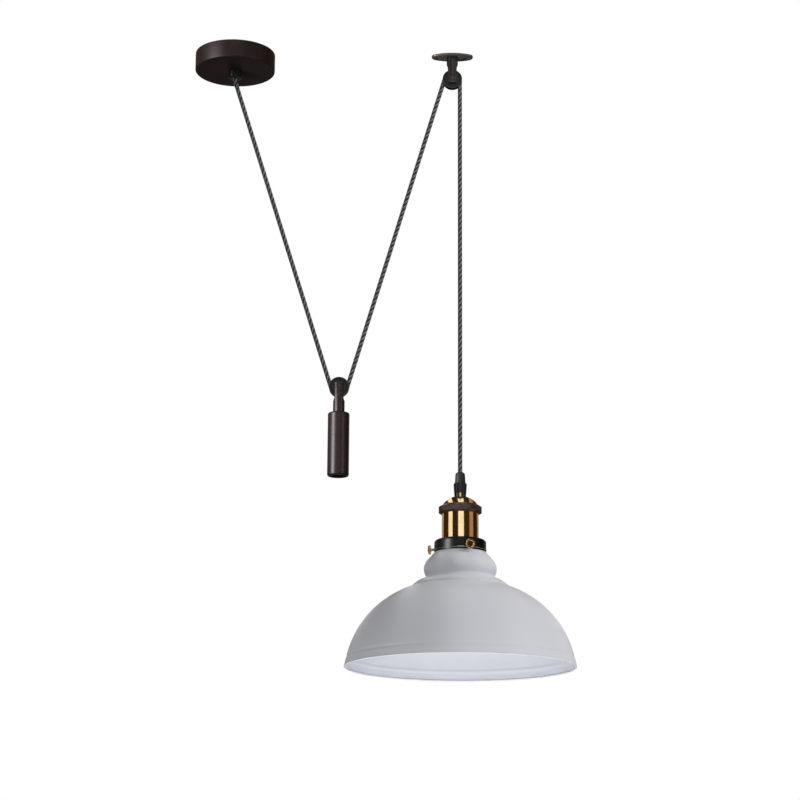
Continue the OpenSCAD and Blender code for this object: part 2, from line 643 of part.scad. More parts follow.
module weight_plug() color(bronze) at_weight(weight_stem + weight_h - plug_t) difference() {
    disc(weight_d - 2 * weight_wall, plug_t);
    for (side = [-1, 1]) translate([side * weight_d / 4, 0, -plug_t - eps]) cylinder(d = 2.5, h = 1.8);
}

// ---- lamp's cord grip
module lamp_grip_cap() color(black) at_lamp(lamp_drop) difference() {
    bevel = 2;
    rotate_extrude() polygon([[flex_d / 2, 0], [grip_cap_top_d / 2 - bevel, 0],
        [grip_cap_top_d / 2, -bevel], [grip_cap_d / 2, -grip_cap_h], [flex_d / 2, -grip_cap_h]]);
    for (i = [0:grip_ribs - 1]) rotate([0, 0, 360 * (i + 0.5) / grip_ribs])
        translate([grip_cap_d / 2, 0, 1.4 - grip_cap_h])
            rotate([0, atan((grip_cap_top_d - grip_cap_d) / 2 / grip_cap_h), 0])
                cylinder(d = grip_groove_w, h = grip_cap_h, $fn = 24);
}
module lamp_grip_body() color(black) at_lamp(grip_body_drop) difference() {
    edge = 1.2;
    rotate_extrude() polygon([[flex_d / 2, 0], [grip_cap_d / 2, 0],
        [grip_body_d / 2 - 0.3, -edge], [grip_body_d / 2, -edge - 0.4], [grip_body_d / 2, -edge - 2],
        [grip_foot_d / 2, -grip_body_h], [neck_d / 2, -grip_body_h],
        [neck_d / 2, neck_in_grip - grip_body_h], [flex_d / 2, neck_in_grip - grip_body_h]]);
    for (i = [0:grip_slots - 1]) rotate([0, 0, 90 + 360 * i / grip_slots])
        translate([neck_d / 2 - 0.3, -grip_slot_w / 2, -grip_body_h - eps])
            cube([grip_body_d, grip_slot_w, grip_slot_h + eps]);
}
module holder_neck() color(brass) at_lamp(grip_foot_drop - neck_in_grip)
    tube(neck_d, neck_bore, neck_in_grip + brass_t);

// ---- lampholder
module holder_cap() color(brass) at_lamp(dome_centre_drop) {
    from = acos(skirt_d / 2 / dome_r);
    to = 90 - asin(neck_d / 2 / dome_r);
    in_r = dome_r - brass_t;
    in_from = acos((skirt_d / 2 - brass_t) / in_r);
    in_to = 90 - asin(neck_d / 2 / in_r);
    // the ring's lip holds this flange down on the shell's top edge
    flange_z = dome_centre_drop - shell_top_drop;
    flange_r = shell_d / 2 - 0.1;
    rotate_extrude() polygon(concat(
        [for (i = [0:10]) ray(to + (from - to) * i / 10, dome_r)],
        [[skirt_d / 2, flange_z + brass_t], [flange_r, flange_z + brass_t], [flange_r, flange_z],
            [skirt_d / 2 - brass_t, flange_z]],
        [for (i = [0:10]) ray(in_from + (in_to - in_from) * i / 10, in_r)]));
}
module holder_ring() color(bronze) at_lamp(ring_drop) {
    r = ring_d / 2;
    in_r = skirt_d / 2 + ring_gap;
    top_w = min(3.8, r - in_r - 0.6);
    foot_w = min(3.2, r - shell_d / 2 - 0.4);
    rotate_extrude() polygon([[in_r, 0], [r - top_w, 0], [r, -2.5], [r, 1.9 - ring_h],
        [r - foot_w, -ring_h], [shell_d / 2, -ring_h], [shell_d / 2, -ring_lip], [in_r, -ring_lip]]);
}
module holder_shell() color(brass) at_lamp(shell_top_drop) {
    l = shell_foot_drop - shell_top_drop;
    r = shell_d / 2;
    rotate_extrude() polygon([[shell_in_r, 0], [r, 0], [r, 0.6 - l], [r - 0.6, -l],
        [barrel_out_d / 2, -l], [barrel_out_d / 2, brass_t - l], [shell_in_r, brass_t - l]]);
}
module socket_body() color([0.92, 0.9, 0.85]) at_lamp(socket_top_drop) {
    foot = socket_top_drop - barrel_foot_drop;
    floor_z = socket_top_drop - socket_floor_drop;
    flange_z = socket_top_drop - shell_foot_drop + brass_t;
    cap_r = lamp_cap_d / 2 + screw_shell_t;
    r = barrel_out_d / 2;
    difference() {
        rotate_extrude() polygon([[0, floor_z + socket_floor], [cap_r + 1.2, floor_z + socket_floor],
            [cap_r + 1.2, 0], [r, 0], [r, flange_z + flange_t], [r + flange_w, flange_z + flange_t],
            [r + flange_w, flange_z], [r, flange_z], [r, foot + 1], [r - 1, foot],
            [cap_r + 0.3, foot], [cap_r + 0.3, foot + mouth_h - 1], [cap_r, foot + mouth_h - 1],
            [cap_r, floor_z], [0, floor_z]]);
        for (x = terminal_xs) translate([x, 0, floor_z - 1])
            cylinder(d = terminal_screw_d, h = socket_floor + 2);
    }
}
// the rolled shell that takes the lamp's cap, with a strip on its edge that rises to its terminal
module screw_shell() color(brass) at_lamp(screw_shell_drop) {
    tube(lamp_cap_d + 2 * screw_shell_t, lamp_cap_d, screw_shell_l);
    difference() {
        union() {
            intersection() {
                cylinder(d = lamp_cap_d + 2 * screw_shell_t, h = contact_room);
                translate([lamp_cap_d / 2 + 0.05, -2, 0]) cube([screw_shell_t, 4, contact_room]);
            }
            translate([terminal_xs[1] - 2.6, -2.6, contact_room - screw_shell_t])
                cube([lamp_cap_d / 2 - terminal_xs[1] + 2.75, 5.2, screw_shell_t]);
        }
        translate([terminal_xs[1], 0, contact_room - 1]) cylinder(d = terminal_screw_d, h = 2);
    }
}
terminal_xs = [-9, 9];
// a sprung tongue riveted under the floor at one terminal, bent down to the middle of the cap
module centre_contact() color(brass) at_lamp(socket_floor_drop) difference() {
    w = 5;
    t = 0.5;
    translate([0, w / 2, 0]) rotate([90, 0, 0]) linear_extrude(w) polygon([
        [-12, 0], [-12, -t], [-6.4, -t], [-1.6, -3.6], [1.6, -4.2], [3.6, -3.6],
        [3.4, -3.1], [1.6, -3.6], [-1.3, -3.1], [-6.2, 0]]);
    translate([terminal_xs[0], 0, -1]) cylinder(d = terminal_screw_d, h = 2);
}
module holder_terminals() color(zinc) at_lamp(socket_floor_drop) for (x = terminal_xs)
    translate([x, 0, 0]) {
        disc_h = 1.6;
        head_z = socket_floor + core_d + 0.3;
        translate([0, 0, head_z + disc_h]) difference() {
            disc(5.2, disc_h);
            cube([6, 0.7, 1.2], center = true);
        }
        translate([0, 0, head_z]) disc(terminal_screw_d, head_z + 0.5);
    }
// a pillar riveted inside the shell, with a cross hole for the core and a screw to clamp it
earth_drop = shell_top_drop + 3.6;
earth_y = 18.3;
module earth_terminal() color(brass) at_lamp(earth_drop) {
    difference() {
        intersection() {
            translate([0, earth_y + 2.2, 0]) along_y(5, 8);
            translate([0, 0, 5]) disc(2 * shell_in_r, 10);
        }
        translate([0, earth_y, 5]) disc(core_d + 0.3, 10);
        translate([0, earth_y - 2, 0]) along_y(2, 4);
    }
    translate([0, earth_y - core_d / 2 - 1.8, 0]) difference() {
        along_y(2, 3.6);
        translate([0, -1.8, 0]) cube([3, 1, 0.4], center = true);
    }
}
core_foot_z = -socket_floor_drop + socket_floor + core_d / 2 + 0.15;
module lamp_core(bearing, route, tone) color(tone) {
    out = [core_ring_r * cos(bearing), core_ring_r * sin(bearing), 0];
    start = [lamp_x, 0, -flex_end_drop] + out;
    wire(concat([start, start - [0, 0, 1.5], start - [0, 0, 3], start + out / 2 - [0, 0, 5]],
        [for (p = route) [lamp_x + p.x, p.y, core_foot_z + p.z]]), core_d);
}
module lamp_core_live() lamp_core(210,
    [[-5, -4, 11], [-9.6, -5, 6.6], [-11.6, -4.4, 1.2], [-10.6, -2.7, 0], [-8, -2.4, 0]], [0.4, 0.22, 0.12]);
module lamp_core_neutral() lamp_core(330,
    [[5, -4, 11], [9.6, -5, 6.6], [11.6, -4.4, 1.2], [10.6, -2.7, 0], [8, -2.4, 0]], [0.1, 0.25, 0.6]);
earth_up = -earth_drop - core_foot_z;
module lamp_core_earth() lamp_core(90,
    [[0, 4, earth_up + 7.4], [0, 10, earth_up + 7], [0, earth_y - 2.9, earth_up + 5.6], [0, earth_y, earth_up + 3],
        [0, earth_y, earth_up + 1], [0, earth_y, earth_up - 2]], [0.35, 0.6, 0.15]);

// ---- gallery
module gallery() color(black) at_lamp(shell_foot_drop) difference() {
    r = gallery_d / 2;
    a = gallery_shoulder_w;
    b = gallery_shoulder_h;
    t = gallery_wall;
    rotate_extrude() polygon(concat(
        [[barrel_out_d / 2, 0]],
        [for (p = [90:-10:0]) [r - a + a * cos(p), -b + b * sin(p)]],
        [[r, -gallery_h], [r - t, -gallery_h]],
        [for (p = [0:10:90]) [r - a + (a - t) * cos(p), -b + (b - t) * sin(p)]],
        [[barrel_out_d / 2, -t]]));
    for (i = [0:2]) rotate([0, 0, screw_bearing + 120 * i])
        translate([0, 0, screw_rise - gallery_h]) rotate([0, 90, 0])
            cylinder(d = screw_d + 2 * screw_gap, h = gallery_d);
}
module gallery_nut() color(zinc) at_lamp(shell_foot_drop + gallery_wall) difference() {
    r = barrel_out_d / 2 + gallery_nut_w;
    tube(2 * r, barrel_out_d, gallery_nut_t);
    for (a = [0:30:330]) rotate([0, 0, a]) translate([r + 0.6, 0, 0.5])
        disc(3.4, gallery_nut_t + 1);
}

// A thumb screw lies along +X of its own frame, with its tip against the shade's neck.
module thumb_screw(i) color(brass) at_lamp(screw_drop) rotate([0, 0, screw_bearing + 120 * i]) {
    tip = fitter_d / 2 + 0.05;
    head = gallery_d / 2 + screw_stand;
    rotate([0, 90, 0]) rotate_extrude() polygon([[0, tip], [screw_d / 2 - 0.5, tip],
        [screw_d / 2, tip + 0.5], [screw_d / 2, head - 0.8], [screw_d / 2 + 0.9, head],
        [screw_head_d / 2 - 0.4, head], [screw_head_d / 2, head + 0.4],
        [screw_head_d / 2, head + screw_head_t - 0.4], [screw_head_d / 2 - 0.4, head + screw_head_t],
        [screw_head_d / 2 - 1.6, head + screw_head_t], [screw_head_d / 2 - 2.6, head + screw_head_t - 0.7],
        [0, head + screw_head_t - 0.7]]);
}
module thumb_screw_1() thumb_screw(0);
module thumb_screw_2() thumb_screw(1);
module thumb_screw_3() thumb_screw(2);

// ---- shade: a spun dome with a waisted collar, drawn from its lip down as an outer line
lip_r = 1.2;
lip_c = [fitter_d / 2 + fitter_lip - lip_r, screw_rise + screw_d / 2 + lip_r + 0.2];
// the collar flares out straight from just under the gallery's edge to where it touches the bulge
flare = [gallery_d / 2 - 0.25, -0.5];
collar_c = [collar_d / 2 - collar_r, -collar_drop];
to_flare = flare - collar_c;
flare_a = atan2(to_flare.y, to_flare.x) - acos(collar_r / norm(to_flare));
waist_r = collar_d / 2 - waist_in;
waist_a = -acos((waist_r - collar_c.x) / collar_r);
waist_z = collar_c.y + collar_r * sin(waist_a);
ring_c = [waist_r + shoulder_w, waist_z - shoulder_h];
rim_c = [shade_d / 2 - rim_r, rim_r - shade_h];
// the dome is part of a superellipse from the shoulder ring to the rolled rim
dome_n = 2.32;
dome_a = shade_d / 2 + 2.1;
function dome_rise(x) = pow(1 - pow(x / dome_a, dome_n), 1 / dome_n);
dome_top = ring_c + [bead_r, -bead_r];
dome_foot = rim_c + [rim_r - 0.6, rim_r + 0.1];
dome_s = dome_rise(dome_top.x);
dome_e = dome_rise(dome_foot.x);
dome_b = (dome_top.y - dome_foot.y) / (dome_s - dome_e);
dome_cz = dome_foot.y - dome_b * dome_e;
dome_steps = 44;
function swage(z) = let (u = abs(z - rim_c.y - swage_rise) / 2.8)
    u < 1 ? swage_depth * pow(1 - u * u, 2) : 0;
function arc(c, r, from, to, n) = [for (i = [0:n]) c + ray(from + (to - from) * i / n, r)];
shoulder_from = [waist_r + 1.6, waist_z - 4.6];
shade_line = concat(
    arc(lip_c, lip_r, 90, -90, 6),
    [[fitter_d / 2, lip_c.y - lip_r - 0.4], [fitter_d / 2, 1.9], [fitter_d / 2 + 0.3, 0.9],
        [fitter_d / 2 + 1.2, 0.2], flare + [-0.6, 0.35], flare],
    arc(collar_c, collar_r, flare_a, waist_a, 14),
    [[waist_r - 0.3, waist_z - 1.7]],
    arc([waist_r + 0.1, waist_z - 3.7], bead_r, 60, -10, 4),
    [for (i = [0:6]) let (t = i / 6, run = ring_c + ray(75, bead_r) - shoulder_from)
        shoulder_from + t * run + [0, 1.5 * sin(180 * t)]],
    arc(ring_c, bead_r, 45, -15, 3),
    [for (i = [0:dome_steps])
        let (from = asin(pow(dome_s, dome_n / 2)), to = asin(pow(dome_e, dome_n / 2)),
            a = from + (to - from) * i / dome_steps,
            p = [dome_a * pow(cos(a), 2 / dome_n), dome_cz + dome_b * pow(sin(a), 2 / dome_n)])
        [p.x - swage(p.y), p.y]]);
function inward(p, i, wall) =
    let (t = unit(p[min(i + 1, len(p) - 1)] - p[max(i - 1, 0)])) p[i] + wall * [t.y, -t.x];
module shade() color([0.86, 0.87, 0.89]) at_lamp(gallery_foot_drop) rotate_extrude($fn = 128)
    polygon(concat(shade_line, arc(rim_c, rim_r, 50, -230, 14),
        reverse([for (i = [0:len(shade_line) - 1]) inward(shade_line, i, shade_wall)])));

canopy_cover();
canopy_strap();
canopy_nipple();
nipple_nut();
canopy_grip();
canopy_grip_screw();
terminal_block();
terminal_barrels();
terminal_screws();
canopy_core_live();
canopy_core_neutral();
canopy_core_earth();
flex_canopy_tail();
flex_canopy_leg();
flex_weight_loop();
flex_pulley_leg();
flex_pulley_loop();
flex_lamp_drop();
flex_lamp_tail();
pulley_plate();
pulley_yoke_screw();
pulley_yoke();
pulley_axle();
pulley_washers();
pulley_wheel();
pulley_bush();
weight_yoke();
weight_axle();
weight_washers();
weight_stud();
weight_nut();
weight_shell();
weight_ballast();
weight_plug();
weight_wheel();
weight_bush();
lamp_grip_cap();
lamp_grip_body();
holder_neck();
holder_cap();
holder_ring();
holder_shell();
socket_body();
screw_shell();
centre_contact();
holder_terminals();
earth_terminal();
lamp_core_live();
lamp_core_neutral();
lamp_core_earth();
gallery();
gallery_nut();
shade();
thumb_screw_1();
thumb_screw_2();
thumb_screw_3();
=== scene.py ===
# A rise and fall pendant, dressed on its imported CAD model. Sizes in the meshes are typed in
# millimetres from the canopy's axis on the ceiling, and turned to metres as each mesh is made.
import math

import bmesh
import bpy
import numpy as np
from mathutils import Matrix, Vector


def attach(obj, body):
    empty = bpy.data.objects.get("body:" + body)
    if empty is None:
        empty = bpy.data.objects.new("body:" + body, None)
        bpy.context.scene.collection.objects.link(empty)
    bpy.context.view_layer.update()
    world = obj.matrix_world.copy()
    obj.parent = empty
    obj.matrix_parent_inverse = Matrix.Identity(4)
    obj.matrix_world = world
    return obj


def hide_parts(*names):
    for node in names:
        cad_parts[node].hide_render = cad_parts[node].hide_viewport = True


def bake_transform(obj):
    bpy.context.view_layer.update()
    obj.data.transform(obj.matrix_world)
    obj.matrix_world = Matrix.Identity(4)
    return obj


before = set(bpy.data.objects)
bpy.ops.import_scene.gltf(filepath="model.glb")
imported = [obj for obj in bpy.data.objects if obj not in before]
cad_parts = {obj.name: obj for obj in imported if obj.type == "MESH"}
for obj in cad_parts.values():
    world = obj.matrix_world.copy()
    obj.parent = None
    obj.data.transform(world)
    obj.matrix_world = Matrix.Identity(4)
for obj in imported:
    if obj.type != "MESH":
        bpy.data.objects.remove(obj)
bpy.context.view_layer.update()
scene = bpy.context.scene
scene.view_settings.view_transform = "Standard"

# ---- Camera -------------------------------------------------------------------------------------
# The photographer stands well below the ceiling and looks up, so the canopy's underside shows and
# the shade is seen from just under its rim. A long lens, turned a third of a degree.
camera = bpy.data.objects.new("camera", bpy.data.cameras.new("camera"))
scene.collection.objects.link(camera)
scene.camera = camera
look_up, roll, level = 14.047, 0.35, 90
camera.data.lens, camera.data.sensor_width = 98.23, 36
camera.data.clip_end = 40
camera.location = (0.2146, -2.6208, -1.1125)
camera.rotation_mode = "QUATERNION"
camera.rotation_quaternion = (Matrix.Rotation(math.radians(level + look_up), 4, "X")
                              @ Matrix.Rotation(math.radians(roll), 4, "Z")).to_quaternion()


# ---- Nodes --------------------------------------------------------------------------------------
# Wire is a node's output that can be added, multiplied and so on, which adds Math nodes. Nodes puts
# every other node in a tree, and Finish is a material with its Principled shader.
class Wire:
    def __init__(self, nodes, socket):
        self.nodes, self.socket = nodes, socket

    def math(self, operation, *values):
        return self.nodes.node("Math", {"operation": operation}, dict(enumerate(values)))

    def __add__(self, other):
        return self.math("ADD", self, other)

    def __sub__(self, other):
        return self.math("SUBTRACT", self, other)

    def __rsub__(self, other):
        return self.math("SUBTRACT", other, self)

    def __mul__(self, other):
        return self.math("MULTIPLY", self, other)

    def __truediv__(self, other):
        return self.math("DIVIDE", self, other)

    def __pow__(self, other):
        return self.math("POWER", self, other)

    def share(self):
        """What is over a whole number."""
        return self.math("FRACT", self)

    __radd__, __rmul__ = __add__, __mul__


class Nodes:
    def __init__(self, tree):
        self.tree = tree

    def put(self, socket, value):
        if isinstance(value, Wire):
            self.tree.links.new(value.socket, socket)
        else:
            socket.default_value = value

    def node(self, kind, settings=None, sockets=None, out=0):
        """A node of a kind, with its settings and its sockets, and its output out, a number or a name."""
        made = self.tree.nodes.new(kind if kind.startswith("Geometry") else "ShaderNode" + kind)
        for key, value in (settings or {}).items():
            setattr(made, key, value)
        for key, value in (sockets or {}).items():
            self.put(made.inputs[key], value)
        return Wire(self, made.outputs[out])

    def split(self, vector):
        """The x, y and z of a vector."""
        parts = self.node("SeparateXYZ", sockets={0: vector}).socket.node.outputs
        return [Wire(self, part) for part in parts]

    def spread(self, value, low, high, least=0, most=1):
        """A value from low to high, mapped to least to most and kept between them."""
        return self.node("MapRange", {"clamp": True}, {
            "Value": value, "From Min": low, "From Max": high, "To Min": least, "To Max": most})


class Finish(Nodes):
    def __init__(self, name, colour, **sockets):
        self.material = bpy.data.materials.new(name)
        self.material.use_nodes = True
        super().__init__(self.material.node_tree)
        self.shader = self.tree.nodes["Principled BSDF"]
        self.feed("Base Color", (*colour, 1))
        for socket, value in sockets.items():
            self.feed(socket.replace("_", " "), value)

    def feed(self, socket, value):
        self.put(self.shader.inputs[socket], value)
        return self

    def place(self, centre=(0, 0, 0)):
        """Object coordinates in metres, from a centre."""
        return self.node("VectorMath", {"operation": "SUBTRACT"},
                         {0: self.node("TexCoord", out=3), 1: centre})

    def axes(self, centre=(0, 0, 0)):
        """x, y and z of a point, from a centre."""
        return self.split(self.place(centre))

    def noise(self, scale, where=None, detail=3):
        return self.node("TexNoise", sockets={"Vector": where or self.place(), "Scale": scale,
                                              "Detail": detail})

    def blend(self, share, one, two):
        """One colour where share is 0, and the other where it is 1."""
        made = self.node("Mix", {"data_type": "RGBA"}, {0: share}, out=2).socket.node
        for key, value in ((6, one), (7, two)):
            self.put(made.inputs[key], value if isinstance(value, Wire) else (*value, 1))
        return Wire(self, made.outputs[2])

    def bump(self, height, strength, distance):
        return self.feed("Normal", self.node("Bump", sockets={
            "Strength": strength, "Distance": distance, "Height": height}))


# ---- Light and background -----------------------------------------------------------------------
# A white studio with a large soft lamp to the right, weaker ones behind, to the left and in front,
# and three kept for a few pieces. Dark flags, which only mirrors see, give the brass its bands,
# as a photographer's do. The white wall is bright to look at, and lights the pendant by a third.
lamp_x, wall_light = 289, 0.33
world = scene.world or bpy.data.worlds.new("studio")
scene.world = world
world.use_nodes = True
world.node_tree.nodes.clear()
air = Nodes(world.node_tree)
straight, mirrored, through = (air.node("LightPath", out=f"Is {ray} Ray")
                               for ray in ("Camera", "Glossy", "Transmission"))
seen = straight.math("MAXIMUM", straight.math("MAXIMUM", straight, mirrored), through)
wall = air.node("Background", sockets={"Color": (1, 1, 1, 1),
                                       "Strength": air.spread(seen, 0, 1, wall_light)})
air.put(air.tree.nodes.new("ShaderNodeOutputWorld").inputs[0], wall)


def lamp(name, place, size, watts, aim=(0.25, 0, -0.5), only=None):
    """A soft box that faces a point. place is its bearing, height and distance: a bearing of 0 is at
    the camera, and 90 is to its right. only names a group of pieces that it alone lights."""
    light = bpy.data.lights.new(name, "AREA")
    light.shape, light.size, light.size_y = "RECTANGLE", *size
    light.energy = watts
    made = bpy.data.objects.new(name, light)
    turn, height, distance = math.radians(place[0]), place[1], place[2]
    made.location = (aim[0] + distance * math.sin(turn), -distance * math.cos(turn), height)
    made.rotation_mode = "QUATERNION"
    made.rotation_quaternion = (Vector(aim) - made.location).to_track_quat("-Z", "Y")
    made.visible_glossy = only == "satin"
    scene.collection.objects.link(made)
    if only:
        pieces = bpy.data.collections.get(only) or bpy.data.collections.new(only)
        made.light_linking.receiver_collection = pieces


# Three lamps light a few pieces each: one the shade from below, and two the satin paint, where they
# draw a long highlight on the left and a weak one on the right. The shiny brass shows none of them.
lamp("soft_right", (68, 0.9, 2.6), (0.9, 2.4), 46)
lamp("soft_left", (-98, -0.3, 2.8), (0.55, 2.4), 7)
lamp("soft_front", (8, -0.6, 3.1), (0.75, 2.2), 4.5)
lamp("soft_back", (138, 0.6, 2.8), (0.9, 2.0), 16)
lamp("soft_below", (0, -1.7, 0.3), (0.9, 0.9), 8, (lamp_x / 1000, 0, -0.6), "bowl")
lamp("strip_left", (-58, -0.4, 2.8), (0.95, 2.4), 215, only="satin")
lamp("strip_right", (49, -0.4, 2.8), (0.3, 2.4), 20, only="satin")


def lit_by(group, piece):
    """Puts a piece in the group that a lamp is kept for."""
    bpy.data.collections[group].objects.link(piece)


def flag(name, left, right, tint, low=-60, high=76, radius=3.6):
    """A cloth on a frame round the pendant, seen by reflections only. It hangs where it fills the
    holder from left to right, in shares of its radius, on normals tilted from low to high degrees."""
    cloth = Finish(name, (0, 0, 0), Roughness=1, Specular_IOR_Level=0, Emission_Color=(*tint, 1),
                   Emission_Strength=1)
    holder, view = Vector((lamp_x / 1000, 0, -0.6)), Vector((0, -0.982, -0.19))
    points, rows, columns, dome_narrower, dome_tilt = [], 34, 12, 0.159, 35
    for i in range(rows + 1):
        tilt = low + (high - low) * i / rows
        narrow, tilt = 1 - dome_narrower * min(1, max(0, tilt / dome_tilt)), math.radians(tilt)
        for j in range(columns + 1):
            aside = narrow * (left + (right - left) * j / columns) / math.cos(tilt)
            turn = math.asin(max(-1, min(1, aside)))
            normal = Vector((math.cos(tilt) * math.sin(turn), -math.cos(tilt) * math.cos(turn),
                             math.sin(tilt)))
            points.append(holder + radius * (2 * normal.dot(view) * normal - view))
    mesh = bpy.data.meshes.new(name)
    wide = columns + 1
    starts = [i * wide + j for i in range(rows) for j in range(columns)]
    mesh.from_pydata(points, [], [(k, k + 1, k + wide + 1, k + wide) for k in starts])
    made = bpy.data.objects.new(name, mesh)
    mesh.materials.append(cloth.material)
    scene.collection.objects.link(made)
    made.visible_camera = made.visible_diffuse = made.visible_shadow = False
    made.visible_transmission = made.visible_volume_scatter = False


flag("flag_edge_left", -1, -0.93, (0.34, 0.29, 0.26))
flag("flag_far_left", -0.92, -0.64, (0.045, 0.016, 0.003))
flag("flag_left", -0.43, -0.12, (0.035, 0.017, 0.004))
flag("flag_right", 0.18, 0.49, (0.035, 0.022, 0.005))
flag("flag_dim_right", 0.49, 0.69, (0.36, 0.25, 0.18))
flag("flag_far_right", 0.69, 0.91, (0.035, 0.012, 0.003))
flag("flag_edge_right", 0.91, 1, (0.34, 0.29, 0.26))
flag("flag_below", -1, 1, (0.05, 0.045, 0.04), -78, -18, 3.2)

# A plain pale floor, far enough below the ceiling to be out of the photograph. It glows a little for
# the camera alone, so it stays pale in views from above.
floor_z, floor_end = -3.4, 60
floor_pale = Finish("floor_pale", (0.86, 0.86, 0.86), Roughness=0.9, Specular_IOR_Level=0,
                    Emission_Strength=1)
floor_pale.feed("Emission Color", floor_pale.blend(floor_pale.node("LightPath", out="Is Camera Ray"),
                                                   (0, 0, 0), (0.58, 0.58, 0.58)))
floor_mesh = bpy.data.meshes.new("floor")
floor_mesh.from_pydata([(x * floor_end, y * floor_end, floor_z)
                        for x, y in ((-1, -1), (1, -1), (1, 1), (-1, 1))], [], [(0, 1, 2, 3)])
floor = bpy.data.objects.new("floor", floor_mesh)
floor_mesh.materials.append(floor_pale.material)
scene.collection.objects.link(floor)


# ---- Canopy cover -------------------------------------------------------------------------------
# A cup pressed from 1 mm steel and painted a dark brown bronze with a satin lacquer. A cord grip
# on a threaded nipple holds it up against the ceiling.
def arc(r, z, radius, start, end, steps=6):
    """Points of an arc about (r, z), with angles in degrees from straight out."""
    turns = [math.radians(start + (end - start) * i / steps) for i in range(steps + 1)]
    return [(r + radius * math.cos(a), z + radius * math.sin(a)) for a in turns]


def eased(corners):
    """A closed outline of (r, z) or (r, z, fillet) corners, with the fillets drawn as arcs."""
    outline = []
    for i, (r, z, *fillet) in enumerate(corners):
        if not fillet:
            outline.append((r, z))
            continue
        here = Vector((r, z))
        before = (Vector(corners[i - 1][:2]) - here).normalized()
        after = (Vector(corners[(i + 1) % len(corners)][:2]) - here).normalized()
        half, radius = before.angle(after) / 2, fillet[0]
        middle = here + (before + after).normalized() * (radius / math.sin(half))
        start = here + before * (radius / math.tan(half)) - middle
        end = here + after * (radius / math.tan(half)) - middle
        steps = 3 + round(4 * radius)
        outline += [tuple(middle + start.lerp(end, j / steps).normalized() * radius)
                    for j in range(steps + 1)]
    return outline


def show(name, mesh, finish, body, stands_for, sharp=35):
    """Puts a finished mesh in the scene, on its body and in place of its CAD nodes. Edges over
    sharp degrees stay hard."""
    made = bpy.data.objects.new(name, mesh)
    scene.collection.objects.link(made)
    mesh.materials.clear()
    mesh.materials.append(finish.material)
    mesh.shade_smooth()
    mesh.set_sharp_from_angle(angle=math.radians(sharp))
    if body:
        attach(made, body)
    if stands_for:
        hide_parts(*stands_for)
    return made


def turned(outline, x, z=0, sides=192, relief=None, along=None):
    """The mesh of a closed (r, z) outline spun about a vertical axis at x, in millimetres, with an
    optional relief cut in it. along turns the axis from +Z to another direction."""
    r, h = np.array(outline)[:, :1], np.array(outline)[:, 1:]
    turn = np.linspace(0, 2 * math.pi, sides, endpoint=False)
    points = np.stack([r * np.cos(turn), r * np.sin(turn), np.repeat(h, sides, 1)], -1).reshape(-1, 3)
    count = len(outline)
    faces = [(i * sides + k, i * sides + (k + 1) % sides, (i + 1) % count * sides + (k + 1) % sides,
              (i + 1) % count * sides + k) for i in range(count) for k in range(sides)]
    mesh = bpy.data.meshes.new("turned")
    mesh.from_pydata((points / 1000).tolist(), [], faces)
    if relief:
        mesh = relief.cut_in(mesh)
    work = bmesh.new()
    work.from_mesh(mesh)
    bmesh.ops.remove_doubles(work, verts=work.verts, dist=1e-6)
    bmesh.ops.dissolve_degenerate(work, edges=work.edges, dist=1e-7)
    bmesh.ops.recalc_face_normals(work, faces=work.faces)
    if along:
        bmesh.ops.rotate(work, verts=work.verts, matrix=Vector((0, 0, 1)).rotation_difference(
            Vector(along)).to_matrix(), cent=(0, 0, 0))
    bmesh.ops.translate(work, verts=work.verts, vec=(x / 1000, 0, z / 1000))
    work.to_mesh(mesh)
    work.free()
    return mesh


def lacquered(name, colour, rough, axis, metallic=0.2, gloss=0.3):
    """Satin paint on steel turned about an axis at x: a faint flake, fine turning marks and small
    changes of gloss."""
    made = Finish(name, colour, Metallic=metallic, Specular_IOR_Level=gloss)
    x, y, z = made.axes((axis / 1000, 0, 0))
    out = (x * x + y * y) ** 0.5
    rings = made.noise(1, made.node("CombineXYZ", sockets={0: out * 900, 1: z * 2600, 2: 0.0}), 2)
    flake = made.noise(5200, detail=1)
    cloud = made.noise(38, detail=4)
    made.feed("Base Color", made.blend(made.spread(flake * 0.6 + cloud * 0.4, 0.36, 0.66),
                                       [c * 0.72 for c in colour], [min(1, c * 1.3) for c in colour]))
    made.feed("Roughness", made.spread(cloud * 0.5 + rings * 0.5, 0.3, 0.7, rough - 0.06, rough + 0.07))
    return made.bump(rings * 0.6 + flake * 0.4, 0.08, 0.00002)


cover_r, cover_z, cover_wall, grip_hole = 51, -23, 1, 5.1
canopy_paint = lacquered("bronze_paint_canopy", (0.0105, 0.0060, 0.0058), 0.42, 0, 0.1, 0.15)
lit_by("satin", show("canopy_cover_pressed", turned(
    eased([(cover_r - cover_wall, 0, 0.3), (cover_r, 0, 0.3), (cover_r, cover_z, 1.4),
           (grip_hole, cover_z, 0.25), (grip_hole, cover_z + cover_wall, 0.25),
           (cover_r - cover_wall, cover_z + cover_wall, 0.4)]), 0, sides=224),
    canopy_paint, "root", ["canopy_cover"]))


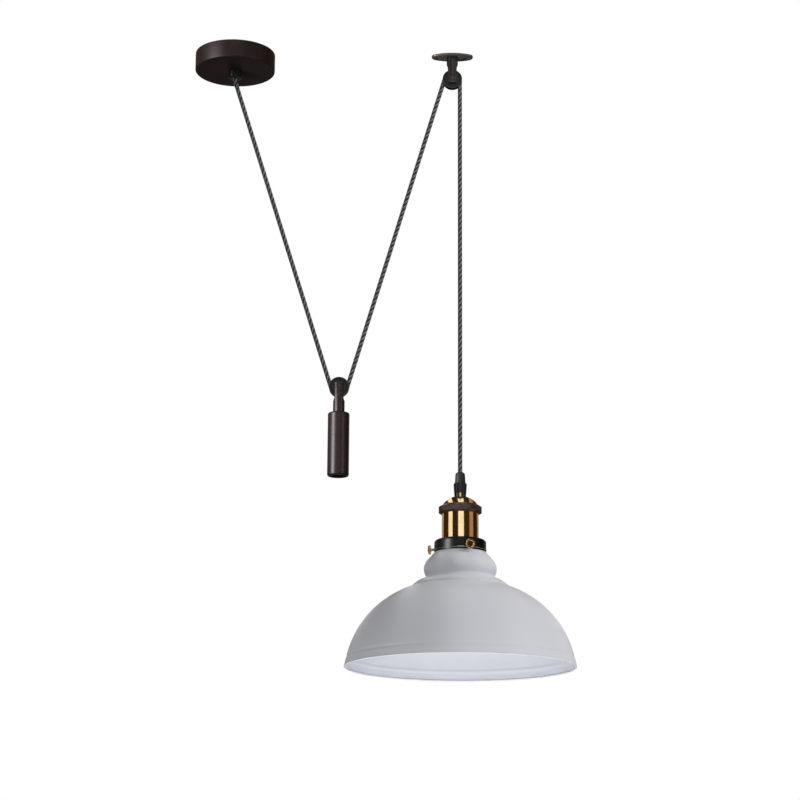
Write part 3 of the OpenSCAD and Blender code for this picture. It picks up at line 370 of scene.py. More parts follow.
# ---- Strap, nipple, nut and their screws --------------------------------------------------------
# A bent zinc-plated strip on the ceiling, with the brass nipple clamped in its middle by a nut. The
# CAD solids keep their shape, and get eased edges.
def eased_copy(node, finish, body, width, sharp=35):
    """A copy of a CAD node with its triangles merged and its sharp edges rounded, in its place."""
    work = bmesh.new()
    work.from_mesh(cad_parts[node].data)
    bmesh.ops.transform(work, matrix=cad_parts[node].matrix_world, verts=work.verts)
    bmesh.ops.remove_doubles(work, verts=work.verts, dist=2e-6)
    bmesh.ops.dissolve_degenerate(work, edges=work.edges, dist=1e-7)
    bmesh.ops.dissolve_limit(work, angle_limit=math.radians(0.5), verts=work.verts, edges=work.edges)
    if width:
        hard = [e for e in work.edges if len(e.link_faces) == 2 and e.calc_face_angle(0) > math.radians(32)]
        bmesh.ops.bevel(work, geom=hard, offset=width / 1000, segments=2, profile=0.6,
                        affect="EDGES", clamp_overlap=True)
    mesh = bpy.data.meshes.new(node)
    work.to_mesh(mesh)
    work.free()
    for face in mesh.polygons:
        face.material_index = 0
    return show(node + "_eased", mesh, finish, body, [node], sharp)


def plated(name, colour, rough=0.3):
    """Plain or plated metal, with faint clouds and fine rolling scratches."""
    made = Finish(name, colour, Metallic=1.0)
    x, y, z = made.axes()
    scratch = made.noise(1, made.node("CombineXYZ", sockets={0: x * 220, 1: y * 6400, 2: z * 6400}), 2)
    cloud = made.noise(160, detail=3)
    made.feed("Base Color", made.blend(made.spread(cloud, 0.3, 0.7), [c * 0.8 for c in colour], colour))
    made.feed("Roughness", made.spread(scratch * 0.6 + cloud * 0.4, 0.3, 0.7, rough - 0.08, rough + 0.14))
    return made.bump(scratch, 0.12, 0.00003)


zinc = plated("zinc_plate", (0.62, 0.63, 0.66))
for node in ("canopy_strap", "nipple_nut"):
    eased_copy(node, zinc, "root", 0.12)

brass_plain = plated("brass_plain", (0.78, 0.56, 0.26), 0.34)
eased_copy("canopy_nipple", brass_plain, "root", 0.12)
eased_copy("canopy_grip_screw", zinc, "root", 0.06)


# ---- Canopy's cord grip -------------------------------------------------------------------------
# A black nylon cap, screwed on the nipple under the cover, which it holds up. The flex leaves by
# its foot, which is rounded so that it doesn't chafe.
def moulded(name, colour, rough, grain=900, gloss=0.5):
    """Injection-moulded plastic: a fine grain, a faint bloom and a soft sheen."""
    made = Finish(name, colour, Specular_IOR_Level=gloss, Coat_Weight=0.2 * gloss, Coat_Roughness=0.3)
    grains, bloom = made.noise(grain * 4, detail=2), made.noise(70, detail=4)
    made.feed("Base Color", made.blend(made.spread(bloom, 0.3, 0.75), colour,
                                       [min(1, c * 1.35 + 0.004) for c in colour]))
    made.feed("Roughness", made.spread(bloom, 0.3, 0.7, rough - 0.06, rough + 0.08))
    return made.bump(grains, 0.2, 0.00003)


flex_r, grip_r, grip_foot, nipple_r, nipple_end = 2.75, 8.2, -32.6, 5, -28
black_nylon = moulded("black_plastic", (0.012, 0.012, 0.013), 0.36)
show("canopy_grip_turned", turned(
    eased([(flex_r, nipple_end, 0.1), (nipple_r, nipple_end, 0.1), (nipple_r, cover_z - 0.02, 0.1),
           (grip_r, cover_z - 0.02, 0.25), (grip_r, grip_foot, 1.2), (flex_r, grip_foot, 0.5)]),
    0, sides=96),
    black_nylon, "root", ["canopy_grip"])

# ---- Terminal block and cores -------------------------------------------------------------------
# Inside the cover, a cream moulded block joins the flex to the supply. Each of its three brass
# barrels has two screws, and each of the flex's three cores a sleeve of its own colour.
cream = moulded("block_plastic", (0.72, 0.69, 0.58), 0.42)
eased_copy("terminal_block", cream, "root", 0)
eased_copy("terminal_barrels", brass_plain, "root", 0)
eased_copy("terminal_screws", zinc, "root", 0)
for core, tone in (("live", (0.17, 0.065, 0.028)), ("neutral", (0.02, 0.08, 0.32)),
                   ("earth", (0.12, 0.34, 0.05))):
    sleeve = moulded("core_" + core, tone, 0.4, 1400)
    eased_copy("canopy_core_" + core, sleeve, "root", 0, sharp=60)
    eased_copy("lamp_core_" + core, sleeve, "lamp", 0, sharp=60)

# ---- Ceiling plate ------------------------------------------------------------------------------
# An oval steel plate with a rounded lower edge and two countersunk holes, screwed to the ceiling.
# A screw through its middle holds the yoke of the pulley.
pulley_x, weight_x = 279.25, 139
steel_grey = lacquered("bronze_paint_pulley", (0.055, 0.048, 0.046), 0.34, pulley_x, 0.3)
lit_by("satin", eased_copy("pulley_plate", steel_grey, "root", 0, sharp=34))
eased_copy("pulley_yoke_screw", zinc, "root", 0.1)

# ---- Yokes --------------------------------------------------------------------------------------
# Each is turned from rod, with a slot milled for its wheel and a flat round each end of the axle,
# a dull steel pin. Thin washers keep the wheel clear of the slot's walls.
steel_weight = lacquered("bronze_paint_weight", (0.0115, 0.0062, 0.0060), 0.36, weight_x)
axle_steel = plated("axle_steel", (0.10, 0.09, 0.085), 0.4)
for pulley, body, paint in (("pulley", "root", steel_grey), ("weight", "counterweight", steel_weight)):
    yoke = eased_copy(pulley + "_yoke", paint, body, 0.18)
    if pulley == "weight":
        lit_by("satin", yoke)
    eased_copy(pulley + "_axle", axle_steel, body, 0.1)
    eased_copy(pulley + "_washers", zinc, body, 0.05)

# ---- Wheels -------------------------------------------------------------------------------------
# Steel wheels, turned with dished faces and a round groove for the flex, and lacquered, with a
# painted highlight in patches round their rims. A brass bush in each runs on its axle.
def wheel_paint(name, centre):
    """The lacquer of the wheels, with turning marks round the axle and a painted highlight on the rim."""
    made = Finish(name, (0.04, 0.038, 0.036), Metallic=0.6, Specular_IOR_Level=0.2)
    x, y, z = made.axes(centre)
    out = (x * x + z * z) ** 0.5
    rings = made.noise(1, made.node("CombineXYZ", sockets={0: out * 2600, 1: y * 2600, 2: 0.0}), 3)
    cloud = made.noise(210, detail=4)
    # The outermost rim is coloured light grey in patches: a painted highlight.
    rim_painted_highlight = made.spread(out, 0.0119, 0.0125) * made.spread(cloud, 0.35, 0.6)
    made.feed("Base Color", made.blend(rim_painted_highlight, made.blend(cloud, (0.022, 0.021, 0.020), (0.05, 0.048, 0.047)),
                                       (0.34, 0.33, 0.32)))
    made.feed("Roughness", made.spread(rings * 0.5 + cloud * 0.5, 0.3, 0.7, 0.3, 0.48))
    return made.bump(rings, 0.25, 0.00004)


pulley_z, weight_z, wheel_r, wheel_half, dished, lay_r = -32.5, -441, 12.5, 4, 3.5, 9.75
for wheel, x, z in (("pulley", pulley_x, pulley_z), ("weight", weight_x, weight_z)):
    face = [(3.2, wheel_half, 0.1), (4.6, wheel_half, 0.25), (5.1, dished, 0.3), (9.8, dished, 0.3),
            (10.3, wheel_half, 0.25), (wheel_r, wheel_half, 0.34), (wheel_r, 3.3, 0.15)]
    groove = arc(lay_r, 0, 2.9, 90, 270, 18)
    show(wheel + "_wheel_turned", turned(
        eased(face + groove + [(r, -h, fillet) for r, h, fillet in face[::-1]]), x, z, 128,
        along=(0, 1, 0)),
        wheel_paint(wheel + "_wheel_paint", (x / 1000, 0, z / 1000)), wheel + "_wheel",
        [wheel + "_wheel"])
    eased_copy(wheel + "_bush", brass_plain, wheel + "_wheel", 0.08)

# ---- Counterweight ------------------------------------------------------------------------------
# A steel tube with a top and rounded ends, painted dark brown, filled with ballast and closed by a
# plug. A stud and a nut hold it on its yoke.
shell_r, shell_bore, shell_top, shell_foot, top_wall, stud_r = 13.4, 9.8, -473.8, -553.8, 4, 3
lit_by("satin", show("weight_shell_turned", turned(
    eased([(stud_r, shell_top - top_wall, 0.2), (stud_r, shell_top, 0.3), (shell_r, shell_top, 2.4),
           (shell_r, shell_foot, 2.4), (shell_bore, shell_foot, 0.15),
           (shell_bore, shell_top - top_wall, 0.3)]), weight_x),
    steel_weight, "counterweight", ["weight_shell"]))
matt = lacquered("bronze_paint_matt", (0.006, 0.0045, 0.0043), 0.75, weight_x, 0, 0.04)
eased_copy("weight_plug", matt, "counterweight", 0.2)
eased_copy("weight_nut", zinc, "counterweight", 0.15)
eased_copy("weight_stud", zinc, "counterweight", 0.15)
lead = plated("lead_ballast", (0.24, 0.25, 0.27), 0.5)
eased_copy("weight_ballast", lead, "counterweight", 0.3)

# ---- Flex ---------------------------------------------------------------------------------------
# One round three-core flex under a dark grey braid, with three pairs of light tracer threads. The
# lengths that stretch as the lamp moves are swept in pieces, which ride on no body.
carriers, carrier_threads, lay = 12, 4, 0.0018
braid = Finish("flex_braid", (0.09, 0.09, 0.092), Roughness=0.72, Sheen_Weight=0.25,
               Sheen_Roughness=0.4)
round_it, along_it = braid.split(braid.node("UVMap", {"uv_map": "braid"}))[:2]
one, other = round_it * carriers + along_it / lay, round_it * carriers - along_it / lay
part_one, part_other = one.share(), other.share()
ridge = (part_one.math("SINE", part_one * math.pi) * part_other.math("SINE", part_other * math.pi)) ** 0.5
over = one.math("PINGPONG", one.math("FLOOR", one) + one.math("FLOOR", other), 1.0)
tracer = (one / 4).share()
light = (over * 0.75 + 0.25) * tracer.math("LESS_THAN", tracer, 0.5)
threads = one.math("SINE", (over * one + (1 - over) * other) * (2 * math.pi * carrier_threads)) * 0.5 + 0.5
fuzz = braid.noise(2600, detail=3)
# Colour darkens down the grooves between the carriers and between their threads, a painted shade, with
# random fuzz.
tone = ridge * 0.6 + threads * 0.22 + fuzz * 0.3
braid.feed("Base Color", braid.blend(braid.spread(tone, 0.25, 1.0), (0.020, 0.020, 0.021),
                                     braid.blend(light, (0.05, 0.05, 0.052), (0.72, 0.71, 0.70))))
braid.bump(ridge * 0.75 + threads * 0.25, 0.8, 0.00022)


def flex(name, route, start, node, body=None, blend=None):
    """A length of flex swept along a flat route of (x, z) points in millimetres, in their order.
    start is the run of flex before it, in metres, which carries the braid on. Gives the run after it."""
    sides = 28
    line = np.array(route, float)
    heading = np.gradient(line, axis=0)
    heading /= np.linalg.norm(heading, axis=1)[:, None]
    run = start + np.concatenate([[0], np.cumsum(np.linalg.norm(np.diff(line, axis=0), axis=1))]) / 1000
    turn = np.linspace(0, 2 * math.pi, sides, endpoint=False)
    x = line[:, :1] - heading[:, 1:] * np.cos(turn) * flex_r
    z = line[:, 1:] + heading[:, :1] * np.cos(turn) * flex_r
    y = np.repeat(np.sin(turn)[None, :] * flex_r, len(line), 0)
    mesh = bpy.data.meshes.new(name)
    rings = len(line)
    walls = [(i * sides + k, i * sides + (k + 1) % sides, (i + 1) * sides + (k + 1) % sides,
              (i + 1) * sides + k) for i in range(rings - 1) for k in range(sides)]
    ends = [tuple(range(sides))[::-1], tuple(range((rings - 1) * sides, rings * sides))]
    mesh.from_pydata((np.stack([x, y, z], -1).reshape(-1, 3) / 1000).tolist(), [], walls + ends)
    layer = mesh.uv_layers.new(name="braid")
    for face in mesh.polygons[:len(walls)]:
        ring, k = divmod(face.index, sides)
        for loop, (du, dv) in zip(face.loop_indices, ((0, 0), (1, 0), (1, 1), (0, 1))):
            layer.data[loop].uv = ((k + du) / sides, run[ring + dv])
    work = bmesh.new()
    work.from_mesh(mesh)
    bmesh.ops.recalc_face_normals(work, faces=work.faces)
    work.to_mesh(mesh)
    work.free()
    made = show(name, mesh, braid, body, [node], 50)
    if blend:
        one_body, other_body, first, last = blend
        first[0] / 1000
        first[1] / 1000
        last[0] / 1000
        last[1] / 1000
        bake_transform(made)
    return run[-1]


def unsmooth(share):
    return 0.5 - math.sin(math.asin(1 - 2 * share) / 3)


def leg(name, node, first, last, start, one_body, other_body):
    """A straight length swept in pieces, cut closer together near its two ends, which ride on no body."""
    cuts = (0, 0.02, 0.06, 0.14, 0.3, 0.7, 0.86, 0.94, 0.98, 1)
    first, last = np.array(first), np.array(last)
    length = np.linalg.norm(last - first) / 1000
    for i, (low, high) in enumerate(zip(cuts, cuts[1:])):
        a, b = unsmooth(low), unsmooth(high)
        scale = (high - low) / (b - a)
        begin = low - a * scale
        steps = max(3, round((high - low) * 60))
        flex(f"{name}_{i + 1}", [first + (last - first) * (low + (high - low) * j / steps)
                                 for j in range(steps + 1)], start + low * length, node,
             blend=(one_body, other_body, first + (last - first) * begin,
                    first + (last - first) * (begin + scale)))
    return start + length


left_lean, right_lean, bend, cut_back, lamp_grip_top, sheath_end = 17.6006, 16.3611, 16, -9, -548, -581.4
bent = arc(bend, grip_foot, bend, 180, 180 + left_lean, 8)
weight_loop = arc(weight_x, weight_z, lay_r, 180 + left_lean, 360 - right_lean, 40)
pulley_loop = arc(pulley_x, pulley_z, lay_r, 180 - right_lean, 0, 44)
run = flex("flex_canopy_tail_braid", [(0, cut_back + (grip_foot - cut_back) * i / 6) for i in range(6)]
           + bent, 0, "flex_canopy_tail", "root")
run = leg("flex_canopy_leg_braid", "flex_canopy_leg", bent[-1], weight_loop[0], run,
          "root", "counterweight")
run = flex("flex_weight_loop_braid", weight_loop, run, "flex_weight_loop", "counterweight")
run = leg("flex_pulley_leg_braid", "flex_pulley_leg", weight_loop[-1], pulley_loop[0], run,
          "counterweight", "root")
run = flex("flex_pulley_loop_braid", pulley_loop, run, "flex_pulley_loop", "root")
run = leg("flex_lamp_drop_braid", "flex_lamp_drop", (lamp_x, pulley_z), (lamp_x, lamp_grip_top), run,
          "root", "lamp")
flex("flex_lamp_tail_braid", [(lamp_x, lamp_grip_top + (sheath_end - lamp_grip_top) * i / 8)
                              for i in range(9)], run, "flex_lamp_tail", "lamp")

# ---- Lamp's cord grip ---------------------------------------------------------------------------
# Two black nylon pieces, screwed together: a ribbed cap that squeezes the flex, on a body with slots
# round its foot. The body screws into the lampholder's neck.
class Relief(Nodes):
    """Geometry Nodes that cut a pattern in a turned mesh. They know each point's turn about the axis
    in radians, and its r and z in millimetres. The pattern's sizes are named inputs."""
    def __init__(self, name, **sizes):
        super().__init__(bpy.data.node_groups.new(name, "GeometryNodeTree"))
        socket, self.sizes = self.tree.interface.new_socket, {}
        for way in ("INPUT", "OUTPUT"):
            socket("Mesh", in_out=way, socket_type="NodeSocketGeometry")
        for size, value in sizes.items():
            self.sizes[socket(size, in_out="INPUT", socket_type="NodeSocketFloat").identifier] = value
        self.inputs = self.tree.nodes.new("NodeGroupInput").outputs
        self.x, self.y, self.z = (axis * 1000 for axis in self.split(self.node("GeometryNodeInputPosition")))
        self.r = (self.x * self.x + self.y * self.y) ** 0.5
        self.turn = self.x.math("ARCTAN2", self.y, self.x)

    def __getitem__(self, size):
        return Wire(self, self.inputs[size])

    def helix(self, pitch):
        """A round groove that winds up the mesh, from 0 on its crests to 1 in its bottom."""
        return (1 - self.z.math("COSINE", self.turn - self.z * (2 * math.pi) / pitch)) / 2

    def press(self, depth, finish):
        """Moves each point towards the axis by a depth in millimetres, and dresses the mesh."""
        inwards = 0 - depth / self.r / 1000
        moved = self.node("GeometryNodeSetPosition", sockets={
            "Geometry": self["Mesh"],
            "Offset": self.node("CombineXYZ", sockets={0: self.x * inwards, 1: self.y * inwards})})
        real = self.node("GeometryNodeRealizeInstances", sockets={0: moved})
        dressed = self.node("GeometryNodeSetMaterial", sockets={"Geometry": real,
                                                                "Material": finish.material})
        self.put(self.tree.nodes.new("NodeGroupOutput").inputs[0], dressed)

    def cut_in(self, mesh):
        """A plain mesh with the pattern cut in."""
        blank = bpy.data.objects.new("blank", mesh)
        scene.collection.objects.link(blank)
        modifier = blank.modifiers.new("relief", "NODES")
        modifier.node_group = self.tree
        for identifier, value in self.sizes.items():
            modifier[identifier] = value
        cut = bpy.data.meshes.new_from_object(blank.evaluated_get(bpy.context.evaluated_depsgraph_get()))
        bpy.data.objects.remove(blank)
        return cut


def sloped(points, steps):
    """The points of a polyline with each of its stretches cut in steps."""
    cut = [tuple(np.array(a) + (np.array(b) - np.array(a)) * i / steps)
           for a, b in zip(points, points[1:]) for i in range(steps)]
    return cut + [points[-1]]


# Eight narrow round grooves lie between the cap's ribs, from above its foot to its top.
cap_foot = -561.2
cap_nylon = moulded("black_plastic_ribs", (0.012, 0.012, 0.013), 0.36, gloss=0.13)
ribs = Relief("cap_ribs", Ribs=8.0, Radius=0.6, Foot=-560.2, Hole=3.6)
aside = ((ribs.turn * ribs["Ribs"] / (2 * math.pi)).share() - 0.5) * (2 * math.pi) / ribs["Ribs"] * ribs.r
round_groove = ribs.spread(ribs["Radius"] * ribs["Radius"] - aside * aside, 0, 1) ** 0.5
reach = (ribs.spread(ribs.z, ribs["Foot"], ribs["Foot"] + 0.6)
         * ribs.spread(ribs.r, ribs["Hole"], ribs["Hole"] + 0.8))
ribs.press(round_groove * reach, cap_nylon)
lit_by("satin", show("lamp_grip_cap_ribbed", turned(
    [(flex_r, lamp_grip_top - 0.2), (flex_r + 0.2, lamp_grip_top)]
    + sloped([(3.75, lamp_grip_top), (5.75, -549.85)], 8) + sloped([(5.87, -550.1), (6.56, -560.9)], 16)
    + [(6.45, cap_foot), (flex_r, cap_foot)], lamp_x, sides=360, relief=ribs),
    cap_nylon, "lamp", ["lamp_grip_cap"], sharp=48))
eased_copy("lamp_grip_body", black_nylon, "lamp", 0.15)


# ---- Lampholder's brass -------------------------------------------------------------------------
# Cap and shell are spun from brass sheet and polished, with a clear lacquer. The neck is turned from
# bar and left satin. An earth terminal sits inside.
def polished(name, rough=0.08):
    """Polished brass: hair-fine turning lines round the axis, faint stains and fingermarks."""
    colour, stained = (1.0, 0.79, 0.47), (0.88, 0.64, 0.35)
    made = Finish(name, colour, Metallic=1.0, Coat_Weight=0.1, Coat_Roughness=0.06)
    x, y, z = made.axes((lamp_x / 1000, 0, 0))
    lines = made.noise(1, made.node("CombineXYZ", sockets={0: (x * x + y * y) ** 0.5 * 500, 1: z * 5200}), 2)
    stain, mark = made.noise(46, detail=5), made.noise(300, detail=3)
    made.feed("Base Color", made.blend(made.spread(stain * 0.7 + mark * 0.3, 0.42, 0.68), colour, stained))
    made.feed("Roughness", made.spread(mark * 0.5 + stain * 0.3 + lines * 0.2, 0.35, 0.65,
                                       rough - 0.03, rough + 0.07))
    return made.bump(lines, 0.1, 0.00002)


brass = polished("brass_polished")
neck_r, neck_bore, neck_top, neck_foot = 5.9, 3.5, -570.4, -579.3
show("holder_neck_turned", turned(
    eased([(neck_bore, neck_top, 0.1), (neck_r, neck_top, 0.2), (neck_r, neck_foot, 0.1),
           (neck_bore, neck_foot, 0.1)]), lamp_x, sides=96),
    polished("brass_turned", 0.34), "lamp", ["holder_neck"])

holder_wall, dome_r, dome_c, dome_edge, joint, flange_top = 0.9, 26.7, -604.44, 21.4, -592.4, -591.5


def dome_line(radius, edge):
    """The dome's arc on a radius, from the neck's hole down to its edge."""
    return arc(0, dome_c, radius, 90 - math.degrees(math.asin(neck_r / radius)),
               math.degrees(math.acos(edge / radius)), 26)


show("holder_cap_spun", turned(
    eased(dome_line(dome_r, dome_edge)
          + [(dome_edge, flange_top, 0.3), (22.35, flange_top, 0.15), (22.35, joint, 0.15),
             (dome_edge - holder_wall, joint, 0.1)]
          + dome_line(dome_r - holder_wall, dome_edge - holder_wall)[::-1]), lamp_x),
    brass, "lamp", ["holder_cap"])
brass_r, brass_foot, barrel_r = 22.45, -631.9, 19.3
show("holder_shell_spun", turned(
    eased([(brass_r - holder_wall, joint, 0.1), (brass_r, joint, 0.2), (brass_r, brass_foot, 0.7),
           (barrel_r, brass_foot, 0.15), (barrel_r, brass_foot + holder_wall, 0.1),
           (brass_r - holder_wall, brass_foot + holder_wall, 0.4)]), lamp_x),
    brass, "lamp", ["holder_shell"])
eased_copy("earth_terminal", brass_plain, "lamp", 0)


# ---- Knurled ring -------------------------------------------------------------------------------
# A steel ring joins cap and shell: its lip holds the cap's flange down on the shell's top edge. It is
# black-brown, with a rolled diamond knurl.
ring_r, ring_top, ring_foot, knurl_top, knurl_foot = 26.4, -589.5, -600.3, -592.1, -598.3
ring_brown = lacquered("brown_texture", (0.21, 0.155, 0.13), 0.3, lamp_x, 0.9, 0.5)

# The knurl's diamonds are as high as they are wide. It runs out at the ring's chamfers.
knurl = Relief("diamond_knurl", Diamonds=66.0, Depth=0.5, Top=knurl_top - 0.1, Foot=knurl_foot + 0.1,
               Wall=ring_r)
round_it = knurl.turn * knurl["Diamonds"] / (2 * math.pi)
up_it = knurl.z * knurl["Diamonds"] / (2 * math.pi) / knurl["Wall"]
ways = [way.share() - 0.5 for way in (round_it + up_it, round_it - up_it)]
one, other = (way.math("ABSOLUTE", way) * 2 for way in ways)
band = (knurl.spread(knurl.z, knurl["Foot"], knurl["Foot"] + 0.4)
        * knurl.spread(knurl.z, knurl["Top"] - 0.4, knurl["Top"], 1, 0)
        * knurl.r.math("GREATER_THAN", knurl.r, knurl["Wall"] - 0.4))
knurl.press(knurl["Depth"] * (1 - one.math("MINIMUM", one, other)) * band, ring_brown)
show("holder_ring_knurled", turned(
    [(21.5, flange_top), (21.5, ring_top - 0.1), (21.7, ring_top), (22.5, ring_top),
     (22.8, ring_top - 0.13), (ring_r - 0.2, knurl_top + 0.23)]
    + sloped([(ring_r, knurl_top), (ring_r, knurl_foot)], 36)
    + [(ring_r - 0.2, knurl_foot - 0.22), (23.4, ring_foot + 0.1), (23.1, ring_foot), (22.5, ring_foot),
       (22.5, flange_top)], lamp_x, sides=792, relief=knurl),
    ring_brown, "lamp", ["holder_ring"], sharp=50)

# ---- Socket -------------------------------------------------------------------------------------
# Glazed porcelain, held in the brass shell by its flange, with a rolled brass screw shell for the
# bulb's cap, a sprung centre contact and two terminals. Its barrel carries the gallery.
porcelain = Finish("porcelain", (0.78, 0.77, 0.72), Roughness=0.16, Coat_Weight=0.6, Coat_Roughness=0.05)
speck, wash = porcelain.noise(1300, detail=2), porcelain.noise(26, detail=4)
porcelain.feed("Base Color", porcelain.blend(porcelain.spread(speck, 0.66, 0.74), porcelain.blend(
    wash, (0.72, 0.70, 0.64), (0.82, 0.81, 0.77)), (0.42, 0.36, 0.28)))
porcelain.feed("Roughness", porcelain.spread(wash, 0.3, 0.7, 0.12, 0.24))
porcelain.bump(wash, 0.2, 0.0004)
socket_top, wire_bay, floor_under, socket_foot = -600.5, -606.5, -612.5, -655.5
seat_top, seat_foot, thread_end = -628, -631, -646.5
show("socket_body_glazed", turned(
    eased([(0.01, wire_bay), (15, wire_bay, 0.4), (15, socket_top, 0.5), (barrel_r, socket_top, 0.5),
           (barrel_r, seat_top, 0.2), (21, seat_top, 0.4), (21, seat_foot, 0.4),
           (barrel_r, seat_foot, 0.1), (barrel_r, socket_foot, 0.9), (14.1, socket_foot, 0.8),
           (14.1, thread_end, 0.15), (13.8, thread_end, 0.1), (13.8, floor_under, 0.2),
           (0.01, floor_under)]), lamp_x, sides=144),
    porcelain, "lamp", ["socket_body"])

# The thread rolled for the bulb's cap is seven turns of a round groove, shallower at its two ends.
shell_in, shell_out, screw_top, screw_foot = 13.27, 13.6, -617.5, -645.5
shell_brass = plated("shell_brass", (0.80, 0.60, 0.30), 0.3)
rolled = Relief("bulb_thread", Pitch=3.62, Depth=0.84, Top=screw_top - 0.8, Foot=screw_foot + 0.6,
                Fade=1.6)
fade = (rolled.spread(rolled.z, rolled["Top"] - rolled["Fade"], rolled["Top"], 1, 0)
        * rolled.spread(rolled.z, rolled["Foot"], rolled["Foot"] + rolled["Fade"]))
rolled.press(rolled["Depth"] * rolled.helix(rolled["Pitch"]) * fade, shell_brass)
show("screw_shell_rolled", turned(
    sloped([(shell_in, screw_top), (shell_in, screw_foot)], 92)
    + sloped([(shell_out, screw_foot), (shell_out, screw_top)], 92), lamp_x, sides=96,
    relief=rolled), shell_brass, "lamp", (), sharp=50)
eased_copy("centre_contact", brass_plain, "lamp", 0.06)
eased_copy("holder_terminals", zinc, "lamp", 0.06)
eased_copy("screw_shell", shell_brass, "lamp", 0)

# ---- Gallery ------------------------------------------------------------------------------------
# A cup pressed from steel and enamelled black, clamped on the socket by a ring nut. A fine bead
# above its foot is coloured a bright metal grey, a painted highlight.
gallery_r, bead_z, bead_half = 31.65, -645.3, 0.55
gallery_black = lacquered("black_metal", (0.003, 0.004, 0.003), 0.27, lamp_x, 0, 0.13)
lit_by("satin", eased_copy("gallery", gallery_black, "lamp", 0.1))
# The bead's bright grey is a painted highlight on the black gallery.
bead_painted_highlight = lacquered("black_metal_bead", (0.46, 0.47, 0.45), 0.16, lamp_x, 0.9, 0.5)
show("gallery_bead", turned(
    [(gallery_r - 0.25, bead_z + bead_half), (gallery_r + 0.01, bead_z + bead_half)]
    + arc(gallery_r - 0.05, bead_z, 0.42, 62, -62, 8)
    + [(gallery_r + 0.01, bead_z - bead_half), (gallery_r - 0.25, bead_z - bead_half)], lamp_x),
    bead_painted_highlight, "lamp", ())
eased_copy("gallery_nut", zinc, "lamp", 0.12)


# ---- Shade --------------------------------------------------------------------------------------
# Spun from 1 mm aluminium over a form: a lip, a bulged collar, a beaded shoulder and a wide dome
# with a swaged groove and a rolled rim. It is enamelled white inside and out.
def curved(points, steps):
    """A smooth line through points, from each of its stretches' neighbours."""
    line = [np.array(p, float) for p in points]
    line = [2 * line[0] - line[1]] + line + [2 * line[-1] - line[-2]]
    made = []
    for a, b, c, d in zip(line, line[1:], line[2:], line[3:]):
        for i in range(steps):
            t = i / steps
            made.append(tuple(0.5 * (2 * b + (c - a) * t + (2 * a - 5 * b + 4 * c - d) * t * t
                                     + (3 * b - a - 3 * c + d) * t ** 3)))
    return made + [tuple(line[-2])]


# Heights in the shade's outline are from its seat in the gallery.
shade_z, lip_c, lip_r, lip_bore, collar_r, collar_end = -647.504, (28.2, 7.6), 1.2, 26.8, 15, -33.557
upper_bead, lower_bead, bead_r, rim, rim_r = (41.9, -32.492), (56.7, -41.292), 1.3, (138.9, -139.5), 1.1
collar_c, flare = np.array([29.3, -20.5]), np.array([31.4, -0.5])
to_flare = flare - collar_c
collar_start = math.degrees(math.atan2(to_flare[1], to_flare[0])
                            - math.acos(collar_r / np.linalg.norm(to_flare)))
dome_top = (lower_bead[0] + bead_r, lower_bead[1] - bead_r)
dome_foot, dome_a, power = (rim[0] + 0.5, rim[1] + 1.2), 142.1, 2.32
high, low = ((1 - (p[0] / dome_a) ** power) ** (1 / power) for p in (dome_top, dome_foot))
dome_b = (dome_top[1] - dome_foot[1]) / (high - low)
dome_z = dome_foot[1] - dome_b * low
groove_up, groove_half, groove_deep = 11, 2.8, 0.7


def dome(turn):
    """A point of the dome's superellipse, drawn in where the groove is swaged above the rim."""
    x, z = dome_a * math.cos(turn) ** (2 / power), dome_z + dome_b * math.sin(turn) ** (2 / power)
    near = min(1, abs(z - rim[1] - groove_up) / groove_half)
    return x - groove_deep * (1 - near ** 2) ** 2, z


from_x, from_z = 43.4, -33.392
to_x, to_z = arc(*lower_bead, bead_r, 75, 75, 1)[0]
shoulder = [(from_x + (to_x - from_x) * t, from_z + (to_z - from_z) * t + 1.5 * math.sin(math.pi * t))
            for t in (i / 14 for i in range(15))]
first, last = (math.asin(share ** (power / 2)) for share in (high, low))
outer = (arc(*lip_c, lip_r, 90, -90, 10)
         + curved([(28, 6.0), (28, 1.9), (28.3, 0.9), (29.2, 0.2), flare + (-0.6, 0.35), flare], 3)
         + arc(*collar_c, collar_r, collar_start, collar_end, 24)
         + curved([(41.6, -29.6), (41.45, -30.6), (41.9, -31.35)], 2)
         + arc(*upper_bead, bead_r, 60, -20, 6) + shoulder + arc(*lower_bead, bead_r, 50, -25, 6)
         + [dome(first + (last - first) * i / 120) for i in range(121)])
line = np.array(outer)
along_line = np.gradient(line, axis=0)
along_line /= np.linalg.norm(along_line, axis=1)[:, None]
sheet = 1.0
inner = line + sheet * np.stack([along_line[:, 1], -along_line[:, 0]], 1)
inner = [tuple(p) for p in inner[::-1] if p[0] > lip_bore]

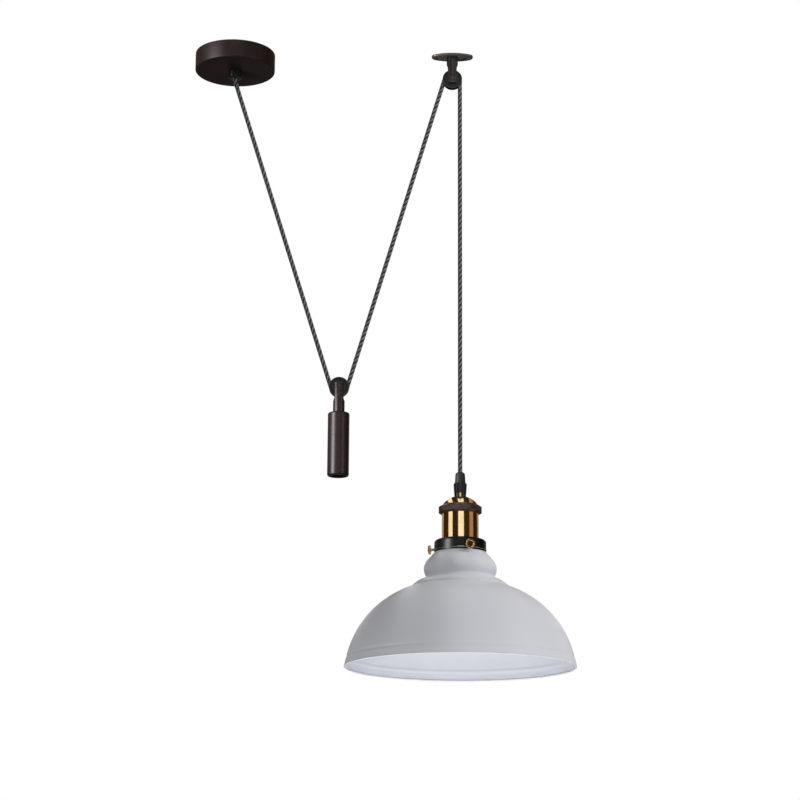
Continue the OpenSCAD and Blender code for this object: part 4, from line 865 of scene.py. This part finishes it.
enamel = Finish("shade_white", (0.785, 0.80, 0.85), Roughness=0.36, Coat_Weight=0.14, Coat_Roughness=0.2)
sx, sy, sz = enamel.axes((lamp_x / 1000, 0, 0))
spun = enamel.noise(1, enamel.node("CombineXYZ", sockets={
    0: (sx * sx + sy * sy) ** 0.5 * 620, 1: sz * 620, 2: 0.0}), 2)
peel, cloud, dust = enamel.noise(620, detail=2), enamel.noise(9, detail=4), enamel.noise(2400, detail=1)
white = enamel.blend(cloud, (0.76, 0.778, 0.83), (0.805, 0.82, 0.87))
enamel.feed("Base Color", enamel.blend(enamel.spread(dust, 0.74, 0.8, 0, 0.4), white, (0.46, 0.44, 0.41)))
enamel.feed("Roughness", enamel.spread(cloud * 0.6 + peel * 0.4, 0.35, 0.65, 0.31, 0.43))
enamel.bump(spun * 0.6 + peel * 0.4, 0.1, 0.00009)
lit_by("bowl", show("shade_spun", turned(
    outer + arc(*rim, rim_r, 45, -225, 20) + inner, lamp_x, shade_z, 224),
    enamel, "lamp", ["shade"], sharp=40))

# ---- Thumb screws -------------------------------------------------------------------------------
# Three turned brass screws through the gallery's wall hold the shade's lip. Each head has a dished
# face inside a raised rim. Lengths in the outline are from the lampholder's axis.
shank_r, tip, head_r, head, screw_z = 1.7, 28.05, 5.9, gallery_r + 5.4, shade_z + 4.5
face = head + 2.3
screw = eased([(0.01, tip), (shank_r - 0.5, tip), (shank_r, tip + 0.5)]
              + sloped([(shank_r, tip + 0.55), (shank_r, head - 0.8)], 40)
              + curved([(shank_r, head - 0.75), (1.95, head - 0.35), (2.6, head)], 3)
              + [(head_r, head, 0.5), (head_r, face, 0.85), (4.1, face, 0.8), (3.6, face - 1, 0.2),
                 (0.01, face - 0.8)])


# A fine thread is cut on the shank, from above its tip to below its head.
thread = Relief("screw_thread", Pitch=0.7, Depth=0.28, Start=29.0, End=36.2, Shank=shank_r)
cut = (thread.z.math("GREATER_THAN", thread.z, thread["Start"])
       * thread.z.math("LESS_THAN", thread.z, thread["End"])
       * thread.r.math("COMPARE", thread.r, thread["Shank"], 0.1))
thread.press(thread["Depth"] * thread.helix(thread["Pitch"]) * cut, brass)
for number, bearing in enumerate((-73, 47, 167), 1):
    body, turn = f"thumb_screw_{number}", math.radians(bearing)
    show(body + "_turned", turned(
        screw, lamp_x, screw_z, 144, thread, (math.cos(turn), math.sin(turn), 0)),
        brass, body, [body], sharp=44)
